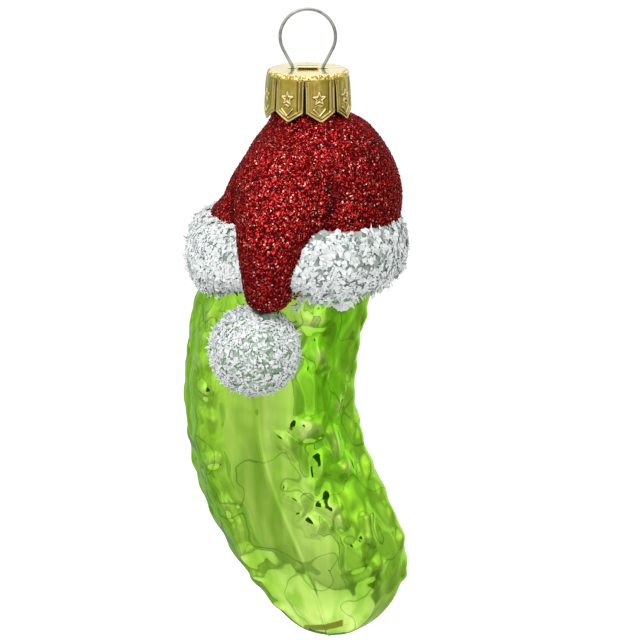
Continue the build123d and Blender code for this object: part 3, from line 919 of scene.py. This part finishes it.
# longer shreds that hang from the brim's lower edge
fringe = dict(count=420, size=(0.5, 1.0), tube=(-1.9, -1.1), lift=(0.1, 0.7), stray=0.3, lean=0.4)

stray = dict(size=(0.35, 0.75), lift=0.12, higher=1.6)
# flakes that strayed onto the glass below the brim: degrees right of the front, spread, levels, count
strayFlakes = [(44, 10, -49.0, -53.0, 150), (9, 2.5, -50.0, -53.0, 16), (-52, 10, -49.0, -51.0, 45),
               (-80, 12, -48.5, -50.3, 30), (70, 10, -48.5, -50.0, 30), (150, 60, -48.5, -50.5, 60)]


def brimPoint(turns, tube, offset):
    reach = brim["radius"] + (brim["halfWidth"] + offset) * np.cos(tube)
    # the lower edge is drawn up on both sides of the tail
    drawn = sum(rise * np.exp(-((np.degrees(turns) - turn) / span)**2) for rise, turn, span in brim["drawn"])
    half = brim["halfHeight"] + np.where(np.sin(tube) > 0, brim["fuller"] * np.cos(turns)**2, -drawn)
    height = (half + offset) * np.sin(tube)
    tilt = math.radians(brim["tilt"])
    x, y = reach * np.cos(turns), reach * np.sin(turns)
    return np.stack([brim["shift"] + x * math.cos(tilt) - height * math.sin(tilt), y,
                     brimLevel + x * math.sin(tilt) + height * math.cos(tilt)], axis=-1)


def brimNormal(turns, tube):
    out = np.cos(tube) / brim["halfWidth"]
    rise = np.sin(tube) / brim["halfHeight"]
    return unit(np.stack([out * np.cos(turns), out * np.sin(turns), rise], axis=-1))


def insideTail(points, margin):
    return tailAway(points) < margin


def insidePickle(points, margin):
    z = points[:, 2]
    across = (points[:, 0] - pickleMiddle(z))**2 + (points[:, 1] / pickle["depthRatio"])**2
    return across < (pickleReach(z) + margin)**2


def insideCrown(points, margin):
    share = np.clip((shoulderLevel - points[:, 2]) / crown["height"], 0, 1)
    x = points[:, 0] - (crown["shift"] - crown["lean"] * share**2)
    return np.hypot(x, points[:, 1]) < crownReach(np.arctan2(points[:, 1], x), share) + margin


def tonedFlakes(name, parts, rng):
    points = np.concatenate([part[0] for part in parts])
    faces, first = [], 0
    for part in parts:
        faces += [tuple(v + first for v in face) for face in part[1]]
        first += len(part[0])
    mesh = meshFrom(name, points, faces)
    perFlake = 10  # two outlines of five corners
    tones = np.repeat(rng.uniform(0, 1, len(points) // perFlake), perFlake)
    mesh.attributes.new("flakeTone", "FLOAT", "POINT").data.foreach_set("value", tones.astype(np.float32))
    return objectFrom(name, mesh, flake, smooth=False)


def mixedSizes(span, count, rng):
    # many small ones and a few large
    return span[0] + (span[1] - span[0]) * rng.uniform(0, 1, count)**flakes["smaller"]


def standingShreds(spots, normals, share, rng):
    # narrow shreds that stand up from among the flakes
    picked = rng.uniform(0, 1, len(spots)) < share
    sizes = rng.uniform(*flakes["shredSize"], picked.sum())
    return shardMesh(spots[picked], normals[picked], sizes, flakes["shredLean"], rng,
                     stretch=(1.0, 1.7), narrow=(0.2, 0.45))


def inClump(spots, rng):
    # flakes gather in clumps and leave small gaps
    thick = flakes["clump"] + flakes["gaps"] * smoothNoise(spots, flakes["clumpSize"], seed=9.0)
    thick = thick - flakes["fullSide"] * spots[:, 0] / brim["radius"]
    return rng.uniform(0, 1, len(spots)) < thick


def brimFlakes():
    rng = np.random.default_rng(flakes["seed"])
    columns, tubes = brim["columns"], brim["tubes"]
    turns = np.arange(columns) * 2 * np.pi / columns
    tubeTurns = np.arange(tubes) * 2 * np.pi / tubes
    bedPoints = np.array([brimPoint(turns, tube, flakes["coat"]) for tube in tubeTurns]).reshape(-1, 3)
    lump = brim["bedLump"] * smoothNoise(bedPoints, brim["bedLumpSize"], seed=4.0)[:, None]
    bedPoints += lump * unit(bedPoints - bedPoints.mean(axis=0))
    bedFaces = ringFaces(tubes, columns)
    last = (tubes - 1) * columns
    bedFaces += [(last + c, c, (c + 1) % columns, last + (c + 1) % columns) for c in range(columns)]
    bed = meshFrom("brim_bed", bedPoints, bedFaces)
    outwardFaces(bed)
    dress(objectFrom("brim_bed", bed, brimBed), "glass", "white_flakes", "brim_flake_coat")
    tries = 4 * flakes["brimCount"]
    turn = rng.uniform(0, 2 * np.pi, tries)
    tube = rng.uniform(0, 2 * np.pi, tries)
    reach = brim["radius"] + brim["halfWidth"] * np.cos(tube)
    length = np.hypot(brim["halfWidth"] * np.sin(tube), brim["halfHeight"] * np.cos(tube))
    weight = reach * length
    keep = rng.uniform(0, weight.max(), tries) < weight
    keep &= np.cos(tube) > flakes["inside"]
    spots = brimPoint(turn, tube, flakes["coat"] + rng.uniform(*flakes["lift"], tries))
    keep &= ~insideTail(spots, -0.15) & ~insidePickle(spots, 0.1) & ~insideCrown(spots, hat["coat"] + 0.1)
    keep &= inClump(spots, rng)
    spots = spots[keep][:flakes["brimCount"]]
    normals = brimNormal(turn, tube)[keep][:flakes["brimCount"]]
    sizes = mixedSizes(flakes["size"], len(spots), rng)
    parts = [shardMesh(spots, normals, sizes, flakes["lean"], rng)]
    parts.append(standingShreds(spots, normals, flakes["shreds"], rng))
    turn = rng.uniform(0, 2 * np.pi, fringe["count"])
    tube = rng.uniform(*fringe["tube"], fringe["count"])
    spots = brimPoint(turn, tube, flakes["coat"] + rng.uniform(*fringe["lift"], fringe["count"]))
    keep = ~insideTail(spots, 0) & ~insidePickle(spots, 0)
    normals = unit(brimNormal(turn, 0 * tube) + rng.normal(0, fringe["stray"], (len(turn), 3)))
    sizes = rng.uniform(*fringe["size"], len(turn))
    parts.append(shardMesh(spots[keep], normals[keep], sizes[keep], fringe["lean"], rng,
                           stretch=(1.0, 1.8), narrow=(0.25, 0.6)))
    for across, spread, top, foot, count in strayFlakes:
        turn = np.radians(270 + across + rng.normal(0, spread / 2, count))
        level = top + (foot - top) * rng.uniform(0, 1, count)**stray["higher"]
        spots, normals = onGlass(turn, level)
        sizes = rng.uniform(*stray["size"], count)
        parts.append(shardMesh(spots + stray["lift"] * normals, normals, sizes, flakes["lean"], rng))
    dress(tonedFlakes("brim_flakes", parts, rng), "glass", "white_flakes", "brim_flake_coat")


def pompomFlakes():
    rng = np.random.default_rng(flakes["seed"] + 1)
    rings = []
    turns = np.arange(pompom["columns"]) * 2 * np.pi / pompom["columns"]
    for rise in np.linspace(-1.5, 1.5, pompom["rows"]):
        ball = np.stack([math.cos(rise) * np.cos(turns), math.cos(rise) * np.sin(turns),
                         math.sin(rise) + 0 * turns], -1)
        lump = pompom["lump"] * smoothNoise(ball, pompom["lumpSize"], seed=2.0)
        reach = pompom["radius"] + flakes["coat"] + lump
        rings.append(pompomCentre + ball * reach[:, None])
    bed = meshFrom("pompom_bed", *closedRings(np.array(rings)))
    outwardFaces(bed)
    dress(objectFrom("pompom_bed", bed, pompomBed), "glass", "white_flakes", "pompom_flake_coat")
    tries = 3 * flakes["pompomCount"]
    normals = unit(rng.normal(0, 1, (tries, 3)))
    reach = pompom["radius"] + flakes["coat"] + rng.uniform(*flakes["lift"], tries)
    spots = pompomCentre + normals * reach[:, None]
    keep = ~insidePickle(spots, 0.1) & ~insideTail(spots, -0.1) & inClump(spots, rng)
    facing = normals @ unit(np.array(flakes["wornSide"]))
    keep &= rng.uniform(0, 1, tries) > flakes["worn"] * smoothStep(facing, *flakes["wornSpan"])
    spots = spots[keep][:flakes["pompomCount"]]
    normals = normals[keep][:flakes["pompomCount"]]
    sizes = mixedSizes(flakes["pompomSize"], len(spots), rng)
    parts = [shardMesh(spots, normals, sizes, flakes["lean"], rng)]
    parts.append(standingShreds(spots, normals, flakes["pompomShreds"], rng))
    dress(tonedFlakes("pompom_flakes", parts, rng), "glass", "white_flakes", "pompom_flake_coat")


brimFlakes()
pompomFlakes()


# the pressed cap: eight petals with a rim, flutes, a star and a chevron, and a bridge on top

cap = dict(radius=7.45, edge=1.0, sheet=capSheetThick, flare=0.4, petals=8, turn=18.3, point=1.7,
           tipWidth=0.35, slitStart=1.06, slitTop=0.25, slitFoot=0.55, columns=84, rows=104, edgeRows=13,
           dish=0.02, wrinkle=5.5, fine=24.0, fineShare=0.8, crinkle=0.17, creaseRise=0.6, speck=0.33,
           discWorn=0.68, holeStart=2.02, holeLength=1.5, holeWidth=0.96,
           discRings=(0.35, 0.7, 1.05, 1.4, 1.8, 2.2, 2.6, 3.0, 3.4, 3.8, 4.3, 4.8, 5.3, 5.8, 6.2))
rub = dict(soft=0.4, base=0.2, speck=1.5, most=0.8, darkest=0.6)
bridge = dict(width=1.5, rise=0.5, half=2.17, ramp=0.28, soft=0.07, openingHalf=1.72, openingWidth=1.8)
# lines pressed into each petal: star, wave and chevron in the middle, flutes beside the right edge
emboss = dict(shift=-0.3, lineWidth=0.15, haloWidth=0.34, rimRise=0.13, rimInset=0.2, rimSpan=(1.6, 2.6),
              innerRim=0.72, innerSpan=(0.5, 0.9), starRise=0.24, starReach=1.12, starWaist=0.48,
              starDrop=4.3, waveDrop=5.55, waveHalf=0.8, waveRise=0.12, waveSwing=0.13, wavePitch=5.5,
              chevronDrop=6.2, chevronHalf=1.05, chevronDepth=1.2,
              flutes=((1.62, -0.17), (1.98, 0.10), (2.34, -0.15), (-2.2, 0.08)), fluteSpan=(1.06, 1.3),
              fluteFoot=(0.5, 1.1), brush=0.075, brushSpan=(1.1, 1.8), brushPitch=1.3, brushStep=3.7,
              worn=0.65)


def lineAway(x, y, a, b):
    # distance of points from the straight piece between a and b
    along = np.array(b, float) - np.array(a, float)
    share = np.clip(((x - a[0]) * along[0] + (y - a[1]) * along[1]) / (along @ along), 0, 1)
    return np.hypot(x - a[0] - share * along[0], y - a[1] - share * along[1])


def starAway(x, y, reach, waist):
    # outline of a five-pointed star
    corners = []
    for step in range(10):
        turn = math.radians(90 + 36 * step)
        far = reach if step % 2 == 0 else waist
        corners.append((far * math.cos(turn), far * math.sin(turn)))
    return np.min([lineAway(x, y, corners[i - 1], corners[i]) for i in range(10)], axis=0)


def ridge(away, width):
    return np.exp(-(away / width)**2)


def petalRelief(across, drop, half):
    # height of the pressed lines, the painted shade beside them and the painted highlight, partly wear, where
    # they are rubbed bright
    slope = cap["point"] / (half - cap["tipWidth"] / 2)
    vee = capTop - petalTips - slope * np.maximum(0, np.abs(across) - cap["tipWidth"] / 2)
    toPoint = (vee - drop) / math.hypot(1, slope.mean())
    toEdge = np.minimum(half - np.abs(across), toPoint)
    low = smoothStep(drop, *emboss["rimSpan"])
    inner = low * smoothStep(half - np.abs(across), *emboss["innerSpan"])
    x = across - emboss["shift"]
    wing = (emboss["chevronHalf"], emboss["chevronDrop"])
    chevron = lineAway(np.abs(x), drop, wing, (0, emboss["chevronDrop"] + emboss["chevronDepth"]))
    wave = np.abs(drop - emboss["waveDrop"] - emboss["waveSwing"] * np.sin(emboss["wavePitch"] * x))
    wave = wave + np.maximum(0, np.abs(x) - emboss["waveHalf"])
    star = starAway(x, emboss["starDrop"] - drop, emboss["starReach"], emboss["starWaist"])
    lines = [(toEdge - emboss["rimInset"], emboss["rimRise"], low),
             (toPoint - emboss["innerRim"], emboss["rimRise"], inner),
             (star, emboss["starRise"], 1),
             (wave, emboss["waveRise"], 1),
             (chevron, emboss["starRise"], 1)]
    fluted = smoothStep(drop, *emboss["fluteSpan"]) * smoothStep(toPoint, *emboss["fluteFoot"])
    lines += [(across - place, rise, fluted) for place, rise in emboss["flutes"]]
    relief, groove, worn = 0 * across * drop, 0 * across * drop, 0 * across * drop
    for away, rise, where in lines:
        line, halo = ridge(away, emboss["lineWidth"]), ridge(away, emboss["haloWidth"])
        relief = relief + rise * where * line
        dark = halo - line if rise > 0 else line
        groove = np.maximum(groove, where * dark * min(1, abs(rise) / emboss["starRise"]))
        worn = np.maximum(worn, where * line * max(0, rise) / emboss["starRise"] * emboss["worn"])
    return relief, groove, worn


def capSheet():
    total = cap["petals"] * cap["columns"]
    pitch = 2 * np.pi / cap["petals"]
    start = math.radians(cap["turn"]) - pitch / 2
    turns = start + np.arange(total) * 2 * np.pi / total
    flat = cap["radius"] - cap["edge"]
    edgeLevel = capTop - cap["edge"]
    around = [(math.cos(turn), math.sin(turn)) for turn in turns]
    wrinkle = np.array([noise.noise(Vector((x, y, 0)) * cap["wrinkle"]) for x, y in around])
    rows = []
    for reach in cap["discRings"]:
        rows.append((reach + 0 * turns, capTop + cap["dish"] * wrinkle * reach / flat))
    for bend in np.linspace(np.pi / 2, 0, cap["edgeRows"]):
        fine = [noise.noise(Vector((cap["fine"] * x, cap["fine"] * y, 3 * bend))) for x, y in around]
        fine = np.array(fine)
        crease = cap["crinkle"] * (wrinkle + cap["fineShare"] * fine) * math.sin(2 * bend)
        reach = flat + cap["edge"] * math.cos(bend) + crease
        rows.append((reach, edgeLevel + cap["edge"] * math.sin(bend) + cap["creaseRise"] * crease))
    rows.append((cap["radius"] + 0 * turns, capTop - (cap["edge"] + cap["slitStart"]) / 2 + 0 * turns))
    rows.append((cap["radius"] + 0 * turns, capTop - cap["slitStart"] + 0 * turns))
    grid = np.array([np.stack([r * np.cos(turns), r * np.sin(turns), z], -1) for r, z in rows])
    points = [grid.reshape(-1, 3), np.array([[0, 0, capTop]])]
    # painted highlight, partly wear: the rolled edge is rubbed bright along its crinkles, and the top disc is
    # painted paler
    rolled = smoothStep(grid[..., 2], edgeLevel, edgeLevel + rub["soft"])
    outside = smoothStep(np.hypot(grid[..., 0], grid[..., 1]), flat, flat + rub["soft"])
    speck = smoothNoise(grid.reshape(-1, 3), cap["speck"], seed=2.0).reshape(grid.shape[:2])
    specked = np.clip(rub["base"] + rub["speck"] * speck, 0, rub["most"])
    bright = cap["discWorn"] * (1 - outside) + outside * specked
    rubbed = [np.append((rolled * bright).ravel(), cap["discWorn"])]
    # painted shade in the crinkles of the rolled edge
    grooves = [np.append((rolled * outside * np.clip(-rub["speck"] * speck, 0, rub["darkest"])).ravel(), 0)]
    faces = ringFaces(len(rows), total)
    faces += [(c, (c + 1) % total, len(rows) * total) for c in range(total)]
    first = len(rows) * total + 1
    slitLevel = capTop - cap["slitStart"]
    columns = cap["columns"] + 1
    side = np.linspace(-1, 1, columns)[None]
    down = np.linspace(0, 1, cap["rows"])[1:, None]
    for petal in range(cap["petals"]):
        middle = math.radians(cap["turn"]) + petal * pitch
        half = pitch * cap["radius"] / 2 - cap["slitFoot"] / 2
        point = np.clip((np.abs(side) * half - cap["tipWidth"] / 2) / (half - cap["tipWidth"] / 2), 0, 1)
        foot = petalTips + cap["point"] * point
        level = slitLevel + (foot - slitLevel) * down
        share = (slitLevel - level) / (slitLevel - petalTips)
        reach = cap["radius"] + cap["flare"] * share
        slit = cap["slitTop"] + (cap["slitFoot"] - cap["slitTop"]) * share
        width = pitch * reach / 2 - slit / 2
        across = side * width
        turn = middle + across / reach
        relief, groove, worn = petalRelief(across, capTop - level, width)
        grooves.append(groove.ravel())
        rubbed.append(worn.ravel())
        brushed = np.array([noise.noise(Vector((emboss["brushPitch"] * a, emboss["brushStep"] * petal, 0.5)))
                            for a in across[0]])[None]
        brushed = brushed * smoothStep(capTop - level, *emboss["brushSpan"])
        reach = reach + relief + emboss["brush"] * brushed
        skin = np.stack([reach * np.cos(turn), reach * np.sin(turn), level + 0 * turn], -1)
        points.append(skin.reshape(-1, 3))
        top = [(len(rows) - 1) * total + (petal * cap["columns"] + c) % total for c in range(columns)]
        for row in range(cap["rows"] - 1):
            above = top if row == 0 else [first + (row - 1) * columns + c for c in range(columns)]
            below = [first + row * columns + c for c in range(columns)]
            for c in range(columns - 1):
                faces.append((above[c], below[c], below[c + 1], above[c + 1]))
        first += (cap["rows"] - 1) * columns
    return np.concatenate(points), faces, np.concatenate(grooves), np.concatenate(rubbed)


def cutterFrom(name, outline):
    # upright prism through the top of the cap
    rings = np.array([[(x, y, capTop + level) for x, y in outline] for level in (0.5, -1.0)])
    mesh = meshFrom(name, *closedRings(rings))
    outwardFaces(mesh)
    return objectFrom(name, mesh)


def slotCutter(name, x, length, width, sides=10):
    # slot with rounded ends
    half, end = length / 2 - width / 2, width / 2
    outline = []
    for centre, start in ((half, -90), (-half, 90)):
        for step in range(sides + 1):
            turn = math.radians(start + 180 * step / sides)
            outline.append((x + centre + end * math.cos(turn), end * math.sin(turn)))
    return cutterFrom(name, outline)


def boxCutter(name, half, width):
    return cutterFrom(name, [(-half, -width / 2), (half, -width / 2), (half, width / 2), (-half, width / 2)])


def capBridge():
    # flat strap between the wire's holes, bent down steeply at its ends, with soft edges
    half, sheet, soft = bridge["half"], cap["sheet"], bridge["soft"]
    x = np.linspace(-half, half, 61)
    rise = (bridge["rise"] + sheet / 2) * smoothStep(half - np.abs(x), 0, bridge["ramp"])
    crest = np.stack([x, capTop - sheet / 2 + rise], -1)
    along = unit(np.gradient(crest, axis=0))
    down = np.stack([along[:, 1], -along[:, 0]], -1)
    w = bridge["width"] / 2
    edge = [(-w + soft, 0), (w - soft, 0), (w, soft), (w, sheet - soft),
            (w - soft, sheet), (-w + soft, sheet), (-w, sheet - soft), (-w, soft)]
    rings = [[(px + depth * dx, y, pz + depth * dz) for y, depth in edge]
             for (px, pz), (dx, dz) in zip(crest, down)]
    mesh = meshFrom("cap_bridge", *closedRings(np.array(rings)))
    outwardFaces(mesh)
    # painted sheen: the bridge takes the top disc's pale tone
    addValues(mesh, "worn", np.full(len(mesh.vertices), cap["discWorn"]))
    return objectFrom("cap_bridge", mesh, gold)


def pressedCap():
    points, faces, grooves, rubbed = capSheet()
    mesh = meshFrom("pressed_cap", points, faces)
    outwardFaces(mesh)
    addValues(mesh, "groove", grooves)
    addValues(mesh, "worn", rubbed)
    piece = objectFrom("pressed_cap", mesh, gold)
    thick = piece.modifiers.new("sheet", "SOLIDIFY")
    thick.thickness = cap["sheet"] * mm
    thick.offset = -1
    applyModifiers(piece)
    cutters = [boxCutter("opening", bridge["openingHalf"], bridge["openingWidth"])]
    for side in (-1, 1):
        middle = side * (cap["holeStart"] + cap["holeLength"] / 2)
        cutters.append(slotCutter("hole", middle, cap["holeLength"], cap["holeWidth"]))
    for cutter in cutters:
        cut = piece.modifiers.new(cutter.name, "BOOLEAN")
        cut.object = cutter
        cut.operation = "DIFFERENCE"
    applyModifiers(piece)
    for cutter in cutters:
        bpy.data.objects.remove(cutter)
    dress(piece, "cap", "gold_metal", "ornament_cap")
    dress(capBridge(), "cap", "gold_metal", "ornament_cap")


pressedCap()


# the sprung wire: loop, waist in the cap's holes and two spread legs

wire = dict(radius=0.3, loop=5.0, centre=-4.7, lean=27.5, spacing=5.0, waist=-10.726, legEnd=(4.75, -26.726),
            bend=0.9, sides=16, waver=0.05, waverSize=4.0, waverTop=-4.0)


def wirePath():
    lean = math.radians(wire["lean"])
    turns = np.linspace(np.pi / 2, -lean, 60)
    arc = np.stack([wire["loop"] * np.cos(turns), wire["centre"] + wire["loop"] * np.sin(turns)], -1)
    waist = np.array([wire["spacing"] / 2, wire["waist"]])
    foot = np.array(wire["legEnd"])
    upper, lower = unit(arc[-1] - waist), unit(foot - waist)
    into, out = waist + upper * wire["bend"], waist + lower * wire["bend"]
    run = arc[-1] + (into - arc[-1]) * np.linspace(0, 1, 10)[1:, None]
    share = np.linspace(0, 1, 12)[1:, None]
    curve = into * (1 - share)**2 + 2 * waist * share * (1 - share) + out * share**2
    leg = out + (foot - out) * np.linspace(0, 1, 24)[1:, None]
    half = np.concatenate([arc, run, curve, leg])
    whole = np.concatenate([half[:0:-1] * (-1, 1), half])
    flat = np.stack([whole[:, 0], 0 * whole[:, 0], whole[:, 1]], -1)
    onLoop = smoothStep(flat[:, 2], wire["waist"], wire["waverTop"])
    flat[:, 1] += wire["waver"] * smoothNoise(flat, wire["waverSize"], seed=6.0) * onLoop
    return flat


def hangerWire():
    path = wirePath()
    rings = list(sweepRings(path, np.full(len(path), wire["radius"]), wire["sides"]))
    points, faces = closedRings(np.array(rings))
    mesh = meshFrom("hanger_loop", points, faces)
    outwardFaces(mesh)
    dress(objectFrom("hanger_loop", mesh, steel), "hanger", "steel_wire", "hanger_wire")


hangerWire()


# the camera at the photograph's angle, and plain studio light in a white tent

view = dict(target=(2.2, 0.0, -57.3), elevation=13.5, distance=750.0, angle=8.95)


def placeCamera():
    rise = math.radians(view["elevation"])
    target = Vector(view["target"]) * mm
    away = Vector((0, -math.cos(rise), math.sin(rise))) * view["distance"] * mm
    camera = bpy.data.objects.new("camera", bpy.data.cameras.new("camera"))
    camera.location = target + away
    camera.rotation_euler = (-away).to_track_quat("-Z", "Y").to_euler()
    camera.data.angle = math.radians(view["angle"])
    camera.data.sensor_fit = "HORIZONTAL"
    camera.data.clip_start = 0.01
    scene.collection.objects.link(camera)
    scene.camera = camera


tent = dict(ambient=0.50, back=(1.04, 1.02, 0.98), right=(0.54, 0.58, 0.40), left=(0.98, 1.0, 0.76),
            farLeft=(0.68, 0.76, 0.60), backLeft=(0.30, 0.38, 0.30), front=(1.06, 1.02, 0.98),
            floorEdge=(1.26, 1.22, 1.22), floor=(1.72, 1.62, 1.65), top=(2.3, 2.2, 2.1),
            hole=(0.06, 0.09, 0.05), seam=(0.36, 0.46, 0.26), sideSeam=(0.20, 0.28, 0.12),
            glow=(2.1, 1.85, 1.35), key=(3.2, 3.0, 2.9), edge=(0.22, 0.32, 0.18), clothSize=2.6,
            clothSpan=(0.32, 0.68), uneven=(0.80, 1.20), slope=(0.68, 1.60))
# where the panels lie, in degrees right of the front or above level, and how soft their edges are
panelTurns = dict(right=(38, 122, 9.0), backLeft=(-181, -160), farLeft=(-160, -82, 6.0), left=(-82, -36, 5.0),
                  front=(-36, 32, 7.0), sideSeam=(33.5, 35), glow=(62, 92, 13.0), key=(-56, -20, 12.0),
                  hole=(-11, 11))
panelLevels = dict(low=(-91, 6, 3.0), slope=(-44, 30), glow=(12, 36, 11.0), key=(30, 50, 9.0), hole=(2, 23),
                   floor=(-91, -44, 1.0), floorFade=(-46, -78), floorSeam=(-45, -43.7), top=(46, 91, 4.0))
panelSeams = dict(places=(-160, -82, -36, 122), half=0.6, behind=173.0)


# the tent as the shiny pieces see it: panels by direction, dark seams, a hole for the lens
def makeWorld():
    world = bpy.data.worlds.new("studio")
    scene.world = world
    world.use_nodes = True
    tree = world.node_tree
    direction = addNode(tree, "ShaderNodeTexCoord").outputs["Generated"]
    parts = addNode(tree, "ShaderNodeSeparateXYZ", {0: direction}).outputs
    toFront = mathNode(tree, "MULTIPLY", parts[1], -1.0)
    turn = mathNode(tree, "DEGREES", mathNode(tree, "ARCTAN2", parts[0], toFront))
    rise = mathNode(tree, "DEGREES", mathNode(tree, "ARCSINE", parts[2]))

    def between(value, low, high, soft=0.4):
        rising = ramp(tree, value, low - soft, low + soft)
        falling = ramp(tree, value, high - soft, high + soft, 1.0, 0.0)
        return mathNode(tree, "MULTIPLY", rising, falling)

    def window(name):
        return mathNode(tree, "MULTIPLY", between(turn, *panelTurns[name]), between(rise, *panelLevels[name]))

    low = between(rise, *panelLevels["low"])
    backLeft = mathNode(tree, "MULTIPLY", low, between(turn, *panelTurns["backLeft"]))
    color = mixColor(tree, between(turn, *panelTurns["right"]), tent["back"], tent["right"])
    color = mixColor(tree, backLeft, color, tent["backLeft"])
    for panel in ("farLeft", "left", "front"):
        color = mixColor(tree, between(turn, *panelTurns[panel]), color, tent[panel])
    # cloth lit unevenly from outside
    weave = {"Vector": direction, "Scale": tent["clothSize"], "Detail": 1.0}
    cloth = addNode(tree, "ShaderNodeTexNoise", weave).outputs[0]
    uneven = ramp(tree, cloth, *tent["clothSpan"], *tent["uneven"])
    slope = ramp(tree, rise, *panelLevels["slope"], *tent["slope"])
    light = mathNode(tree, "MULTIPLY", uneven, slope)
    color = addNode(tree, "ShaderNodeVectorMath", {0: color, 3: light}, operation="SCALE").outputs[0]
    for seam in panelSeams["places"]:
        line = between(turn, seam - panelSeams["half"], seam + panelSeams["half"])
        color = mixColor(tree, line, color, tent["seam"])
    color = mixColor(tree, between(turn, *panelTurns["sideSeam"]), color, tent["sideSeam"])
    behind = mathNode(tree, "GREATER_THAN", mathNode(tree, "ABSOLUTE", turn), panelSeams["behind"])
    color = mixColor(tree, mathNode(tree, "MULTIPLY", low, behind), color, tent["edge"])
    for name in ("glow", "key", "hole"):
        color = mixColor(tree, window(name), color, tent[name])
    ground = mixColor(tree, ramp(tree, rise, *panelLevels["floorFade"]), tent["floorEdge"], tent["floor"])
    color = mixColor(tree, between(rise, *panelLevels["floor"]), color, ground)
    color = mixColor(tree, between(rise, *panelLevels["floorSeam"]), color, tent["seam"])
    color = mixColor(tree, between(rise, *panelLevels["top"]), color, tent["top"])
    path = addNode(tree, "ShaderNodeLightPath").outputs
    shiny = mathNode(tree, "MAXIMUM", path["Is Glossy Ray"], path["Is Transmission Ray"])
    ambient = (tent["ambient"],) * 3
    color = mixColor(tree, shiny, ambient, color)
    color = mixColor(tree, path["Is Camera Ray"], color, (1.0, 1.0, 1.0))
    background = tree.nodes["Background"]
    tree.links.new(color, background.inputs["Color"])
    background.inputs["Strength"].default_value = 1.0


lamps = [
    dict(name="keyLamp", place=(-330, -470, 520), aim=(0, 0, -60), size=220, power=4.7),
    dict(name="sideLamp", place=(520, -260, 160), aim=(0, 0, -60), size=160, power=1.2)]


def placeLamps():
    for lamp in lamps:
        data = bpy.data.lights.new(lamp["name"], "AREA")
        data.size = lamp["size"] * mm
        data.energy = lamp["power"]
        item = bpy.data.objects.new(lamp["name"], data)
        item.location = Vector(lamp["place"]) * mm
        aim = Vector(lamp["aim"]) * mm - item.location
        item.rotation_euler = aim.to_track_quat("-Z", "Y").to_euler()
        item.visible_glossy = False  # shiny pieces see the tent's soft panels
        scene.collection.objects.link(item)


floor = dict(drop=80.0, reach=3000.0, tone=(0.80, 0.80, 0.80), speck=(0.70, 0.70, 0.70), speckShare=0.03,
             glow=0.63)


# pale floor under the hanging ornament, white to the eye but keeping the shadow
def placeFloor():
    level = tipLevel - floor["drop"]
    reach = floor["reach"]
    corners = [(-reach, -reach, level), (reach, -reach, level), (reach, reach, level), (-reach, reach, level)]
    material, tree, shader = newMaterial("paleFloor", Roughness=0.9, Specular_IOR_Level=0.0)
    speckle = addNode(tree, "ShaderNodeTexNoise", {"Vector": objectPlace(tree), "Scale": 40.0})
    speckShare = ramp(tree, speckle.outputs[0], 0.3, 0.7, 0.0, floor["speckShare"])
    tone = mixColor(tree, speckShare, floor["tone"], floor["speck"])
    path = addNode(tree, "ShaderNodeLightPath").outputs
    seen = mathNode(tree, "MAXIMUM", path["Is Camera Ray"],
                    mathNode(tree, "MAXIMUM", path["Is Glossy Ray"], path["Is Transmission Ray"]))
    tree.links.new(tone, shader.inputs["Base Color"])
    shader.inputs["Emission Strength"].default_value = 1.0
    tree.links.new(mathNode(tree, "MULTIPLY", seen, floor["glow"]), shader.inputs["Emission Color"])
    plane = objectFrom("floor", meshFrom("floor", corners, [(0, 1, 2, 3)]), material)
    plane.visible_glossy = False  # shiny pieces see the tent's own floor


placeCamera()
makeWorld()
placeLamps()
placeFloor()
print("stage ready")
